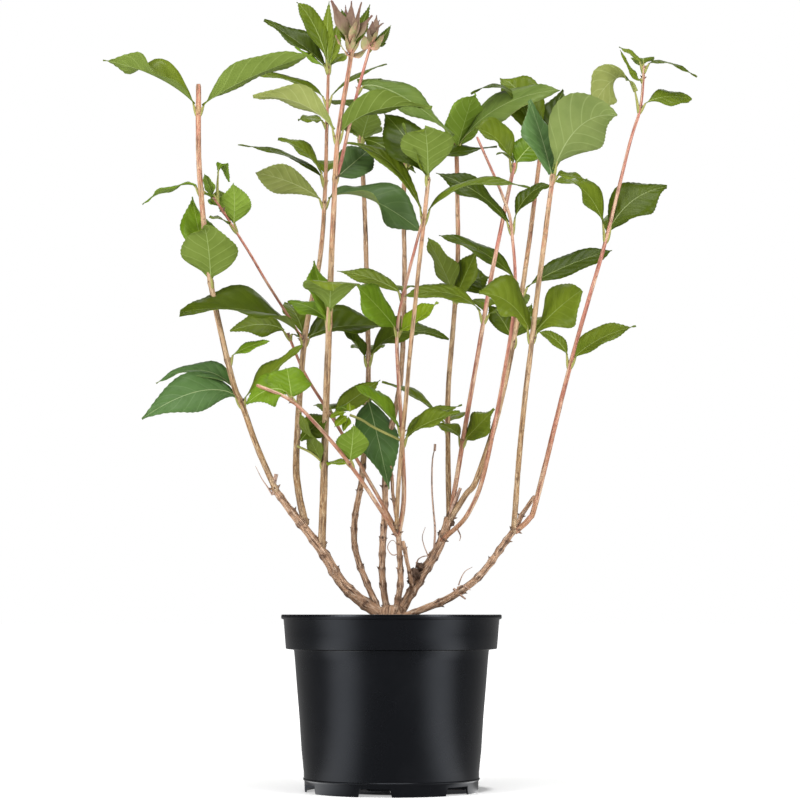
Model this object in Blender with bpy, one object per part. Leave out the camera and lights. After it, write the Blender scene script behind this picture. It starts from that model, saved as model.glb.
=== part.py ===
"""A young weigela in a round nursery pot: pot, soil, root crown, boughs, canes and foliage masses.

Sizes are in millimetres and become metres when a mesh is made. X runs across, Y away from the
front, Z up. The plant is planned as (across, depth, up) places that are sighted from the front:
a place that lies further back is sighted nearer to the sight line than it is.
"""

import math
import random

import bmesh
import bpy
from mathutils import Vector

MM = 0.001
GAP = 0.3
SEED = 7

SIGHT_DISTANCE = 2450.0
SIGHT_ACROSS = 8.5
SIGHT_UP = 174.0
PLAN_LEVEL = 176.0
PLAN_MIDDLE = 391.0
SIGHT_PITCH = math.atan((PLAN_MIDDLE - PLAN_LEVEL) / SIGHT_DISTANCE)

# pot
POT_SEGMENTS = 40
POT_HEIGHT = 174.5
LIP_RADIUS = 109.75
LIP_DROP = 4.1
LIP_ROUND = 0.9
BAND_TOP_RADIUS = 107.4
BAND_FOOT_RADIUS = 105.0
BAND_FOOT = 140.6
STEP_RADIUS = 97.0
RIDGE_UP = 12.7
SKIRT_RADIUS = 85.6
FOOT_RADIUS = 85.0
PANEL_RADIUS = 64.0
PANEL_RAISE = 4.0
WALL = 2.2
FLOOR = 2.5
NOTCHES = 6
NOTCH_TURN = math.radians(-10.4)
NOTCH_HEIGHT = 8.0
NOTCH_FOOT_WIDTH = 41.0
NOTCH_TOP_WIDTH = 35.0
NOTCH_INNER_WIDTH = 20.0
NOTCH_INNER_RADIUS = 62.0
NOTCH_OUTER_RADIUS = 92.0
DRAINS = 6
DRAIN_RADIUS = 6.0
DRAIN_CIRCLE = 46.0
DRAIN_SIDES = 10

# soil and root crown
SOIL_UP = 162.5
CROWN_FOOT_RADIUS = 22.0
CROWN_TOP_RADIUS = 10.0
CROWN_TOP = 184.0
CROWN_SIDES = 10

# limbs
BOUGH_SIDES = 8
CANE_SIDES = 5
STATION_STEP = 62.0
PATH_SAMPLES = 48

# foliage
HUB_WALL = 3.4
HUB_SIDES = 5
HUB_HALF = 5.0
BLADE_THICK = 4.4
UPRIGHT_SHARE = 0.3
BLADE_RINGS = ((0.0, 0.16), (0.32, 0.98), (0.7, 0.78))
TIP_CLEARANCE = 5.0
WEDGE_CLEARANCE = 4.0

BARK = (0.36, 0.25, 0.15)
YOUNG_BARK = (0.48, 0.22, 0.15)
TAN_BARK = (0.52, 0.36, 0.20)
LEAF = (0.16, 0.30, 0.07)
DARK_LEAF = (0.09, 0.20, 0.05)
BUD = (0.24, 0.16, 0.12)
SOIL_BROWN = (0.06, 0.04, 0.03)
POT_BLACK = (0.018, 0.018, 0.02)

# name: (foot radius, tip radius, colour, places from foot to tip as (across, depth, up))
LIMBS = {
    "bough_left": (6.4, 3.4, BARK, (
        (-5, 0, 172), (-33.5, -3, 193), (-51.5, -6, 210), (-69.5, -10, 240), (-117, -18, 302))),
    "bough_middle": (5, 4.4, BARK, (
        (4, 3, 172), (21.5, 8, 201), (33.5, 10, 221), (48.5, 12, 246), (58, 12, 274))),
    "bough_right": (3.6, 3.2, BARK, (
        (5, -5, 172), (42.5, -14, 186), (67.5, -20, 199), (90.5, -26, 218), (122.5, -34, 261))),
    "stem_centre": (3.2, 2.7, BARK, (
        (1, -7, 172), (8.5, -9, 201), (8.5, -10, 228), (7, -11, 257))),
    "stem_strut": (2.1, 1.9, BARK, (
        (21, 6, 200), (17.5, -12, 219), (11.5, -20, 250))),
    "left_cane_1": (3, 2.6, TAN_BARK, (
        (-115, -18, 299), (-135.5, -22, 347), (-150, -26, 388), (-159, -29, 412),
        (-180.5, -38, 507), (-192, -50, 619), (-193, -58, 707))),
    "left_cane_2": (3.7, 1.5, TAN_BARK, (
        (-86, -11, 266), (-93, -6, 300), (-95, 0, 339), (-87, 16, 451), (-71.5, 32, 534),
        (-66.5, 44, 600), (-63, 62, 722))),
    "left_cane_3": (3.9, 2.1, TAN_BARK, (
        (-70, -10, 243), (-68, -16, 299), (-64.5, -28, 401), (-58, -56, 572), (-54, -68, 651),
        (-41, -80, 731), (-40.5, -82, 748))),
    "left_cane_3_side": (1.9, 1.4, YOUNG_BARK, (
        (-56.5, -62, 612), (-50.5, -58, 629), (-35, -46, 695), (-22, -40, 742), (-20, -40, 750))),
    "left_cane_4": (3.2, 2.2, BARK, (
        (-13, 2, 181), (-33.5, 16, 231), (-37, 26, 268), (-28.5, 44, 323), (-23.5, 74, 419),
        (-26.5, 116, 572), (-31, 138, 661))),
    "left_cane_5": (3.3, 2.2, BARK, (
        (-4, 5, 176), (-9.5, 10, 220), (-6.5, 20, 291), (-5.5, 30, 338), (9, 58, 410),
        (12.5, 78, 500), (12.5, 96, 600), (15.5, 100, 640))),
    "left_cane_2_side": (1.5, 1.2, YOUNG_BARK, (
        (-87.5, 15, 449), (-118.5, -2, 499), (-158, -26, 563), (-178, -36, 594))),
    "centre_cane_1": (2.1, 1.6, YOUNG_BARK, (
        (6, -11, 255), (-12, -22, 283), (-40.5, -44, 325), (-74.5, -76, 366), (-101, -98, 391),
        (-135, -108, 406))),
    "centre_cane_2": (1.9, 1.4, YOUNG_BARK, (
        (5, -8, 262), (-1.5, -5, 273), (-35.5, 4, 333), (-60, 14, 375), (-85.5, 30, 415),
        (-104, 28, 458))),
    "centre_cane_3": (2.5, 1.4, YOUNG_BARK, (
        (7, -11, 255), (12.5, -14, 291), (11.5, -18, 340), (7.5, -14, 406), (6, -4, 457),
        (12.5, 8, 499), (30, 30, 567))),
    "centre_cane_3_fork": (2.2, 2, TAN_BARK, (
        (5, -13, 262), (6.5, -20, 301), (10.5, -26, 346), (16, -34, 409), (23.5, -52, 486),
        (37, -88, 614))),
    "stub_centre": (2, 1.6, BARK, (
        (7.5, -8, 258), (2.5, -2, 291), (-1, 4, 325))),
    "middle_cane_1": (2.8, 2.2, TAN_BARK, (
        (57.5, 12, 270), (56.5, 36, 347), (57.5, 58, 411), (66, 92, 530), (64.5, 118, 663))),
    "middle_cane_2": (2.5, 2, YOUNG_BARK, (
        (58.5, 12, 271), (65.5, 14, 315), (85, 24, 428), (102.5, 36, 528), (123, 50, 628))),
    "middle_cane_3": (3.1, 2.2, TAN_BARK, (
        (58, 11, 271), (74, 6, 296), (86.5, 6, 315), (110.5, 20, 395), (131, 48, 501),
        (149, 92, 638))),
    "middle_cane_4": (2.4, 1.3, YOUNG_BARK, (
        (50, 10, 250), (77.5, -9, 279), (96.5, -14, 335), (122, -26, 480), (120.5, -32, 557),
        (112.5, -30, 592), (85.5, -18, 654))),
    "right_cane_1": (2.8, 2.3, TAN_BARK, (
        (122, -34, 258), (124, -38, 285), (129.5, -52, 355), (140.5, -78, 454), (161.5, -126, 617))),
    "right_cane_2": (2.8, 1.4, YOUNG_BARK, (
        (123, -34, 259), (137.5, -32, 272), (145.5, -28, 293), (179, -12, 427), (215, 8, 553),
        (238, 22, 647), (249, 29, 684), (252.5, 37, 725))),
    "stub_right": (2.3, 2, BARK, (
        (121, -33, 257), (131, -22, 277), (143, -16, 295))),
}

# name: (colour, tiers); a tier is (limb, height on it, leaves) and a leaf is (tip across,
# tip depth from its foot, tip up, width, arch above the straight line, roll to the front, fold)
MASSES = {
    "foliage_left_cane_1_top": (LEAF, (
        ("left_cane_1", 681, ((-288.5, -18, 731, 46, 11, 35, 44),
            (-79.5, -26, 736.5, 42, 8, -30, 46))),)),
    "foliage_left_cane_1_upper": (LEAF, (
        ("left_cane_1", 601, ((-249.5, 22, 587, 34, 10, 12, 12), (-178, 12, 594, 8, 0, 0, 10))),
        ("left_cane_2_side", 563, ((-158, -14, 608, 36, 1, 0, 25), (-182.5, -18, 574, 24, 3, 20, 15))),
        ("left_cane_2_side", 580, ((-183, 18, 592, 16, 2, 10, 15), (-173, 16, 602, 20, 0, 0, 10))),
        ("left_cane_2_side", 592, ((-187, -6, 617, 22, 0, 0, 10), (-162.5, 8, 609, 17, 28, 20, 10))))),
    "foliage_left_cane_1_middle": (DARK_LEAF, (
        ("left_cane_1", 508, ((-188.5, -32, 574, 58, 2, 0, 12), (-199.5, 26, 594, 44, 2, 0, 12))),)),
    "foliage_left_cane_1_low": (LEAF, (
        ("left_cane_1", 389, ((-249.5, -30, 372, 46, 18, 60, 12), (-235.5, 26, 408, 34, 23, 30, 22),
            (-89.5, -26, 446, 36, 2, 45, 20))),
        ("left_cane_1", 431, ((-122, -10, 450, 16, 4, 45, 10),)))),
    "foliage_left_cane_2_low": (DARK_LEAF, (
        ("left_cane_2", 450, ((-211.5, -98, 478, 62, 19, 35, 30), (-0.5, 34, 464, 54, 9, 40, 30),
            (-107.5, 40, 488, 26, 10, 0, 10))),
        ("centre_cane_2", 456, ((-161.5, -10, 460, 38, 9, 50, 15), (-86, -12, 452, 14, 2, 0, 10))))),
    "foliage_left_cane_2_middle": (LEAF, (
        ("left_cane_2", 587, ((-136, -24, 618.5, 35, 7, -45, 10), (32.5, 34, 557, 60, 20, 14, 30))),
        ("left_cane_2", 609, ((-153.5, 22, 646, 19, 11, 20, 12), (-113.5, -14, 652, 31, 12, 40, 20),
            (-60, 74, 622, 36, 16, 0, 10))))),
    "foliage_left_cane_2_top": (DARK_LEAF, (
        ("left_cane_2", 667, ((-93.5, -6, 671, 34, 4, 25, 10),)),
        ("left_cane_2", 689, ((-146.5, 18, 717, 22, 10, 26, 20), (-4.5, 20, 727, 18, 9, 15, 5),
            (-28, 62, 681, 26, 4, 0, 10))),
        ("left_cane_2", 723, ((-127.5, 12, 771, 34, 4, 40, 30), (-94.5, -12, 789, 26, 14, 75, 15),
            (-62.5, 2, 790, 13, 0, 0, 10), (-96.5, -20, 744, 20, 0, 40, 10),
            (-52.5, 10, 771, 14, 0, 0, 10), (-47, 30, 738, 22, 2, 0, 10))))),
    "foliage_left_cane_3_middle": (LEAF, (
        ("left_cane_3", 466, ((-58, -64, 500, 56, 26, 0, 8), (-78, 14, 530, 40, 2, 0, 10),
            (-104, 34, 489, 28, 7, 30, 10))),)),
    "foliage_left_cane_3_upper": (LEAF, (
        ("left_cane_3", 653, ((-138.5, -22, 694, 38, 16, -28, 40), (40.5, -20, 683, 43, 15, -30, 44))),
        ("left_cane_3", 612, ((-16.5, 26, 646, 40, 0, 50, 10),)))),
    "foliage_buds_left": (BUD, (
        ("left_cane_3", 735, ((-56, -9, 756, 13, -3, 35, 10), (-25, 6, 742, 11, -2, 35, 10))),
        ("left_cane_3", 745, ((-60.5, -5, 790.5, 17, 3, 60, 10), (-40, 7, 790, 12, 0, 0, 10),
            (-30, -6, 789, 15, -3, 60, 10), (-21.5, 9, 786.5, 13, -4, 60, 10),
            (-19, -11, 775.5, 16, 3, 60, 10))))),
    "foliage_buds_right": (BUD, (
        ("left_cane_3_side", 702, ((62, 10, 655, 42, 15, 50, 10), (-6, 46, 690, 26, 14, 0, 10))),
        ("left_cane_3_side", 745, ((-14.5, 5, 776, 9, 0, 0, 10), (-7.5, -5, 757, 14, -4, 60, 10),
            (-28.5, 6, 757, 14, -4, 60, 10), (-0.5, 8, 766, 10, -5, 60, 10))))),
    "foliage_left_cane_4_low": (DARK_LEAF, (
        ("left_cane_4", 392, ((-2.5, -84, 302, 44, 4, 0, 10), (-27, 66, 384, 34, 10, 0, 10))),)),
    "foliage_left_cane_4_middle": (DARK_LEAF, (
        ("left_cane_4", 429, ((-49.5, -10, 462, 27, 2, 44, 40), (57.5, -20, 452, 46, 20, 44, 25),
            (-24, 76, 440, 36, 12, 0, 10))),)),
    "foliage_back_top": (DARK_LEAF, (
        ("left_cane_4", 650, ((-19.5, -20, 686, 36, 0, 0, 10), (-46.5, 10, 673, 26, 2, 20, 10),
            (24, -42, 618, 36, 8, 40, 10), (-25, 76, 650, 40, 14, 0, 10))),
        ("left_cane_5", 624, ((-29.5, 34, 640, 26, 3, 20, 20), (19.5, -14, 648, 20, 0, 0, 10),
            (105.5, 12, 644, 34, 4, 30, 20), (20, 70, 630, 36, 14, 0, 10))))),
    "foliage_centre_cane_1_tip": (LEAF, (
        ("centre_cane_1", 390, ((-145, -6, 387, 38, 13, 60, 5), (-106, 14, 430, 46, 0, 0, 10))),)),
    "foliage_low_left": (LEAF, (
        ("centre_cane_1", 327, ((-66, 28, 329, 18, 1, 20, 10), (-38, -16, 367, 34, 0, 0, 10))),
        ("left_cane_3", 327, ((-92, -10, 378, 36, -4, 0, 10),)))),
    "foliage_centre_cane_2": (LEAF, (
        ("centre_cane_2", 376, ((-11.5, 20, 411, 26, 0, 50, 15), (-66, 50, 378, 30, 10, 0, 10))),)),
    "foliage_centre_cane_3_low": (LEAF, (
        ("centre_cane_3", 350, ((70.5, 16, 386, 24, 6, 34, 30), (68.5, -14, 379, 30, 5, 44, 30))),
        ("centre_cane_3", 359, ((-36.5, -22, 406, 42, 3, 38, 34),)))),
    "foliage_centre_cane_3_middle": (LEAF, (
        ("centre_cane_3", 459, ((-36.5, -30, 507, 50, 4, 65, 8), (46.5, -20, 489, 36, -2, 50, 30))),
        ("centre_cane_3", 495, ((-54.5, 14, 520, 28, 6, 38, 15), (10, 46, 500, 26, 8, 0, 10))))),
    "foliage_centre_fork_top": (LEAF, (
        ("centre_cane_3_fork", 572, ((-44.5, 34, 648, 24, 23, 30, 20),
            (138.5, -20, 603, 32, 20, 25, 20))),
        ("centre_cane_3_fork", 611, ((33, -22, 671, 56, 0, 0, 10), (12.5, -6, 668, 26, 0, 0, 10),
            (-7.5, 52, 678, 50, 6, 30, 10), (40, 60, 640, 30, 12, 0, 10))))),
    "foliage_middle_low": (DARK_LEAF, (
        ("middle_cane_1", 362, ((-9.5, -18, 409, 32, 9, 24, 24), (57, 76, 370, 34, 12, 0, 10))),
        ("middle_cane_2", 349, ((44.5, 22, 367, 22, 5, 20, 20), (103, -12, 382, 44, 0, 50, 10))))),
    "foliage_middle_cane_1_middle": (DARK_LEAF, (
        ("middle_cane_1", 492, ((36.5, -16, 553, 46, 4, 0, 20), (87.5, -30, 544, 36, 0, 85, 10),
            (98.5, 10, 514, 42, 9, 50, 10), (64, 70, 500, 36, 12, 0, 10))),)),
    "foliage_middle_cane_1_top": (LEAF, (
        ("middle_cane_1", 640, ((84, -22, 703, 54, 0, 0, 12), (168.5, -50, 701, 50, 20, 52, 10),
            (60, 64, 640, 36, 14, 0, 10))),)),
    "foliage_middle_cane_2_middle": (LEAF, (
        ("middle_cane_2", 473, ((10.5, -24, 494, 34, 16, 38, 15), (111.5, -6, 482, 14, 2, 20, 10),
            (98, 50, 488, 34, 12, 0, 10))),)),
    "foliage_middle_cane_2_top": (LEAF, (
        ("middle_cane_2", 623, ((82.5, -16, 662, 50, 13, 54, 32), (151.5, 10, 655, 32, 4, 60, 10),
            (122, 56, 632, 34, 12, 0, 10))),)),
    "foliage_middle_cane_3_middle": (LEAF, (
        ("middle_cane_3", 448, ((96.5, 16, 487, 26, 6, 40, 10),)),
        ("middle_cane_3", 500, ((47.5, 16, 556, 31, 13, 30, 15), (220.5, 14, 541, 36, 5, 42, 15),
            (118, 70, 476, 30, 4, 0, 10))))),
    "foliage_middle_cane_3_top": (DARK_LEAF, (
        ("middle_cane_3", 636, ((108.5, 40, 712, 44, 26, 55, 10), (172, 20, 701, 46, 4, 30, 10),
            (150, 76, 650, 36, 14, 0, 10))),)),
    "foliage_middle_cane_4": (LEAF, (
        ("middle_cane_4", 562, ((44.5, 10, 618, 32, 11, 25, 15), (160, 14, 606, 25, 15, 28, 15))),)),
    "foliage_right_cane_1_middle": (LEAF, (
        ("right_cane_1", 453, ((87.5, -20, 498, 64, 15, 52, 20), (190, -22, 501, 58, 5, 62, 6),
            (150, 60, 470, 34, 12, 0, 10))),)),
    "foliage_right_cane_1_top": (LEAF, (
        ("right_cane_1", 613, ((225.5, -22, 675, 70, 25, -64, 32), (137.5, 25, 691, 50, 0, 0, 10),
            (195.5, 10, 611, 24, 4, 30, 10), (168, 64, 640, 34, 14, 0, 10))),)),
    "foliage_right_cane_2_low": (LEAF, (
        ("right_cane_2", 428, ((146.5, 12, 459.5, 19, 9, 35, 15), (244.5, -18, 465, 34, 8, 50, 25))),)),
    "foliage_right_cane_2_middle": (DARK_LEAF, (
        ("right_cane_2", 554, ((161.5, -22, 609, 46, 24, 55, 15), (275.5, 18, 604, 50, 15, 50, 8),
            (236, 64, 588, 30, 4, 0, 10))),)),
    "foliage_right_cane_2_top": (LEAF, (
        ("right_cane_2", 683, ((199.5, -14, 681, 48, 33, 30, 10), (300.5, 12, 692, 34, 7, 40, 8))),
        ("right_cane_2", 713, ((229, -8, 741, 22, -9, 40, 10),)),
        ("right_cane_2", 723, ((305.5, -8, 714, 18, 10, 20, 10), (227.5, 8, 744, 16, 4, 20, 15),
            (250, 50, 724, 24, 10, 0, 10))))),
}


def sighted(place):
    """A plan place (across, depth, up), drawn as seen along the sight line, as a true point."""
    across, depth, up = place
    rise = (up - PLAN_MIDDLE) / SIGHT_DISTANCE
    reach = (SIGHT_DISTANCE + depth) / (math.cos(SIGHT_PITCH) - rise * math.sin(SIGHT_PITCH))
    return Vector((SIGHT_ACROSS + (across - SIGHT_ACROSS) / SIGHT_DISTANCE * reach, depth,
                   SIGHT_UP + (math.sin(SIGHT_PITCH) + rise * math.cos(SIGHT_PITCH)) * reach))


def curve_through(places, samples):
    """Evenly shared samples of a smooth curve through the given places."""
    points = [Vector(place) for place in places]
    ends = [points[0] * 2 - points[1]] + points + [points[-1] * 2 - points[-2]]
    spans = len(points) - 1
    line = []
    for index in range(samples + 1):
        along = spans * index / samples
        span = min(int(along), spans - 1)
        t = along - span
        before, start, end, after = ends[span:span + 4]
        line.append(0.5 * (2 * start + (end - before) * t
                           + (2 * before - 5 * start + 4 * end - after) * t ** 2
                           + (3 * start - before - 3 * end + after) * t ** 3))
    return line


class Limb:
    """A tapering limb along its curve."""

    def __init__(self, name):
        self.foot_radius, self.tip_radius, self.colour, places = LIMBS[name]
        self.sights = curve_through(places, PATH_SAMPLES)
        self.line = [sighted(sight) for sight in self.sights]
        steps = [(b - a).length for a, b in zip(self.line, self.line[1:])]
        self.length = sum(steps)
        self.reach = [0.0]
        for step in steps:
            self.reach.append(self.reach[-1] + step)

    def at(self, share):
        """The point at a share of the limb's length."""
        goal = share * self.length
        for index in range(PATH_SAMPLES):
            if self.reach[index + 1] >= goal or index == PATH_SAMPLES - 1:
                span = self.reach[index + 1] - self.reach[index]
                t = (goal - self.reach[index]) / span
                return self.line[index].lerp(self.line[index + 1], t)

    def share_at(self, up):
        """The share of the length at which the limb reaches a sighted height."""
        for index in range(PATH_SAMPLES):
            low, high = self.sights[index].z, self.sights[index + 1].z
            if high >= up or index == PATH_SAMPLES - 1:
                t = min(1.0, max(0.0, (up - low) / (high - low)))
                reach = self.reach[index] + t * (self.reach[index + 1] - self.reach[index])
                return reach / self.length

    def radius(self, share):
        return self.foot_radius + (self.tip_radius - self.foot_radius) * share


def new_object(name, bm):
    mesh = bpy.data.meshes.new(name)
    bm.to_mesh(mesh)
    bm.free()
    obj = bpy.data.objects.new(name, mesh)
    bpy.context.collection.objects.link(obj)
    return obj


def solid_from_rings(name, rings, closed_tip=None):
    """A closed solid through rings of points, ending flat or in a point."""
    bm = bmesh.new()
    loops = [[bm.verts.new(point * MM) for point in ring] for ring in rings]
    count = len(loops[0])
    for low, high in zip(loops, loops[1:]):
        for side in range(count):
            after = (side + 1) % count
            bm.faces.new((low[side], low[after], high[after]))
            bm.faces.new((low[side], high[after], high[side]))
    bm.faces.new(list(reversed(loops[0])))
    if closed_tip is None:
        bm.faces.new(loops[-1])
    else:
        tip = bm.verts.new(closed_tip * MM)
        for side in range(count):
            bm.faces.new((loops[-1][side], loops[-1][(side + 1) % count], tip))
    bmesh.ops.recalc_face_normals(bm, faces=bm.faces)
    return new_object(name, bm)


def tube(name, limb, low, high, sides, extra=0.0, over=0.0):
    """A tube round a limb between two shares of its length."""
    stations = max(2, round((high - low) * limb.length / STATION_STEP) + 1)
    if high - low > 0.5:
        stations = max(stations, 5)
    rings = []
    for index in range(stations):
        share = low + (high - low) * index / (stations - 1)
        here = limb.at(share)
        ahead = (limb.at(min(1.0, share + 0.02)) - limb.at(max(0.0, share - 0.02))).normalized()
        if index == 0:
            here = here - ahead * over
        if index == stations - 1:
            here = here + ahead * over
        side = ahead.cross(Vector((0, 1, 0))).normalized()
        front = side.cross(ahead)
        radius = limb.radius(share) + extra
        rings.append([here + (side * math.cos(turn) + front * math.sin(turn)) * radius
                      for turn in (math.tau * k / sides for k in range(sides))])
    return solid_from_rings(name, rings)


def upper_side(chord, side):
    """The direction a blade's upper face looks to."""
    upper = chord.cross(side).normalized()
    return -upper if upper.z < 0.0 else upper


def turned_side(chord, side, roll):
    """A blade's sideways direction once the blade is rolled about its length."""
    return side * math.cos(roll) - upper_side(chord, side) * math.sin(roll)


def blade(name, foot, leaf, extra=0.0):
    """A thick leaf blade from its foot to its tip: a keel below and both edges folded up."""
    tip_across, out, tip_up, width, arch, roll, fold = leaf
    tip = sighted((tip_across, foot.y + out, tip_up))
    chord = tip - foot
    flat = Vector((chord.x, chord.y, 0.0))
    if flat.length < UPRIGHT_SHARE * chord.length:
        flat = Vector((0.0, math.copysign(1.0, out), 0.0))
    side = flat.normalized().cross(Vector((0.0, 0.0, 1.0)))
    if side.y > 0.0 or (side.y == 0.0 and side.x < 0.0):
        side.negate()
    side = turned_side(chord, side, math.radians(roll))
    upper = upper_side(chord, side)
    rise = Vector((0.0, 0.0, 1.0)) * arch
    spread = side * math.cos(math.radians(fold))
    lift = upper * math.sin(math.radians(fold))
    rings = []
    for share, span in BLADE_RINGS:
        here = foot + chord * share + rise * (4 * share * (1 - share))
        half_width = max(1.8, 0.5 * width * span) + extra * WEDGE_CLEARANCE
        half_thick = 0.5 * BLADE_THICK * (0.6 + 0.4 * span) + extra
        rings.append([here + (spread + lift) * half_width + upper * half_thick,
                      here - upper * half_thick,
                      here + (lift - spread) * half_width + upper * half_thick])
    return solid_from_rings(name, rings, tip + chord.normalized() * extra * TIP_CLEARANCE)


def hub(name, limb, low, high, over, extra=0.0):
    """The crowded leaf stalks round a limb, between two shares of its length."""
    return tube(name, limb, low, high, HUB_SIDES, HUB_WALL + extra, over + extra)


def overlaps(one, other):
    """Whether two objects' boxes meet."""
    boxes = []
    for obj in (one, other):
        points = [vertex.co for vertex in obj.data.vertices]
        boxes.append([(min(p[axis] for p in points), max(p[axis] for p in points))
                      for axis in range(3)])
    return all(a[0] < b[1] and b[0] < a[1] for a, b in zip(*boxes))


def settle(obj):
    """Replace an object's mesh by its evaluated one and clear its modifiers."""
    view = bpy.context.evaluated_depsgraph_get()
    done = bpy.data.meshes.new_from_object(obj.evaluated_get(view))
    obj.modifiers.clear()
    obj.data = done


def combine(obj, others, operation):
    """Boolean an object with each of the others whose box it meets, then remove them."""
    for other in others:
        if operation == "UNION" or overlaps(obj, other):
            step = obj.modifiers.new(operation, "BOOLEAN")
            step.operation = operation
            step.solver = "EXACT"
            step.object = other
            settle(obj)
    for other in others:
        bpy.data.objects.remove(other)


def keep_largest(obj):
    """Weld the mesh and keep the largest of its loose bodies."""
    bm = bmesh.new()
    bm.from_mesh(obj.data)
    bmesh.ops.remove_doubles(bm, verts=bm.verts, dist=1e-5)
    bmesh.ops.dissolve_degenerate(bm, edges=bm.edges, dist=1e-5)
    bodies = []
    waiting = set(bm.faces)
    while waiting:
        front = [waiting.pop()]
        body = list(front)
        while front:
            face = front.pop()
            for edge in face.edges:
                for near in edge.link_faces:
                    if near in waiting:
                        waiting.remove(near)
                        front.append(near)
                        body.append(near)
        bodies.append(body)
    bodies.sort(key=lambda body: sum(face.calc_area() for face in body))
    for body in bodies[:-1]:
        bmesh.ops.delete(bm, geom=body, context="FACES")
    loose = [vertex for vertex in bm.verts if not vertex.link_faces]
    bmesh.ops.delete(bm, geom=loose, context="VERTS")
    bmesh.ops.dissolve_limit(bm, angle_limit=math.radians(0.2), verts=bm.verts, edges=bm.edges)
    bmesh.ops.triangulate(bm, faces=bm.faces)
    bm.to_mesh(obj.data)
    bm.free()


def turned(name, profile, segments=POT_SEGMENTS):
    """A closed solid turned round Z from a profile that starts and ends on the axis."""
    bm = bmesh.new()
    rings = []
    for radius, up in profile:
        if radius == 0:
            rings.append([bm.verts.new((0, 0, up * MM))])
        else:
            rings.append([bm.verts.new((radius * math.cos(turn) * MM, radius * math.sin(turn) * MM,
                                        up * MM))
                          for turn in (math.tau * k / segments for k in range(segments))])
    for low, high in zip(rings, rings[1:]):
        for side in range(segments):
            after = (side + 1) % segments
            corners = {}
            for ring, place in ((low, side), (low, after), (high, after), (high, side)):
                corners[ring[place % len(ring)]] = None
            bm.faces.new(list(corners))
    bmesh.ops.recalc_face_normals(bm, faces=bm.faces)
    return new_object(name, bm)


def notches():
    """The wedges that leave gaps between the pot's feet."""
    wedges = []
    for index in range(NOTCHES):
        turn = NOTCH_TURN + math.tau * index / NOTCHES
        out = Vector((math.sin(turn), -math.cos(turn), 0))
        across = Vector((math.cos(turn), math.sin(turn), 0))
        rings = []
        for up, width in ((-5.0, NOTCH_FOOT_WIDTH), (NOTCH_HEIGHT, NOTCH_TOP_WIDTH)):
            inner = out * NOTCH_INNER_RADIUS + Vector((0, 0, up))
            outer = out * NOTCH_OUTER_RADIUS + Vector((0, 0, up))
            rings.append([
                inner - across * NOTCH_INNER_WIDTH / 2, inner + across * NOTCH_INNER_WIDTH / 2,
                outer + across * width / 2, outer - across * width / 2])
        wedges.append(solid_from_rings("notch", rings))
    return wedges


def drains():
    """The bores of the drain holes in the raised panel."""
    bores = []
    for index in range(DRAINS):
        turn = NOTCH_TURN + math.tau * (index + 0.5) / DRAINS
        centre = Vector((math.sin(turn), -math.cos(turn), 0)) * DRAIN_CIRCLE
        rings = []
        for up in (-2.0, PANEL_RAISE + FLOOR + 2):
            rings.append([centre + Vector((math.cos(corner) * DRAIN_RADIUS,
                                           math.sin(corner) * DRAIN_RADIUS, up))
                          for corner in (math.tau * k / DRAIN_SIDES for k in range(DRAIN_SIDES))])
        bores.append(solid_from_rings("drain", rings))
    return bores


def inside_profile(gap):
    """The pot's hollow up to its lip, shrunk by a gap: a sunk middle, a floor and two walls."""
    panel = PANEL_RAISE + FLOOR + gap
    floor = NOTCH_HEIGHT + FLOOR + gap
    wall = WALL + gap
    return [
        (0, panel), (PANEL_RADIUS - wall, panel), (PANEL_RADIUS - gap, floor),
        (SKIRT_RADIUS - wall, floor), (STEP_RADIUS - wall, BAND_FOOT + WALL + gap),
        (BAND_FOOT_RADIUS - wall, BAND_FOOT + WALL + 2), (BAND_TOP_RADIUS - wall, POT_HEIGHT - LIP_DROP)]


def make_pot():
    rim = POT_HEIGHT
    outside = [
        (0, PANEL_RAISE), (PANEL_RADIUS, PANEL_RAISE), (PANEL_RADIUS + 2, 0), (FOOT_RADIUS, 0),
        (SKIRT_RADIUS, RIDGE_UP), (STEP_RADIUS, BAND_FOOT - 1.3), (BAND_FOOT_RADIUS, BAND_FOOT),
        (BAND_TOP_RADIUS, rim - LIP_DROP), (LIP_RADIUS, rim - LIP_DROP + 0.4),
        (LIP_RADIUS, rim - LIP_ROUND), (LIP_RADIUS - LIP_ROUND, rim), (0, rim)]
    pot = turned("pot", outside)
    combine(pot, notches(), "DIFFERENCE")
    hollow = turned("hollow", inside_profile(0.0) + [
        (BAND_TOP_RADIUS - WALL + 0.4, rim + 5), (0, rim + 5)])
    combine(pot, [hollow], "DIFFERENCE")
    combine(pot, drains(), "DIFFERENCE")
    keep_largest(pot)
    pot.data.shade_smooth()
    pot.data.set_sharp_from_angle(angle=math.radians(28))
    return pot


def make_soil():
    wall = WALL + GAP
    share = (SOIL_UP - BAND_FOOT) / (POT_HEIGHT - BAND_FOOT)
    edge = BAND_FOOT_RADIUS + (BAND_TOP_RADIUS - BAND_FOOT_RADIUS) * share - wall
    sides = inside_profile(GAP)[3:6]
    return turned("soil", [(0, sides[0][1]), *sides, (edge, SOIL_UP), (0, SOIL_UP)])


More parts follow.
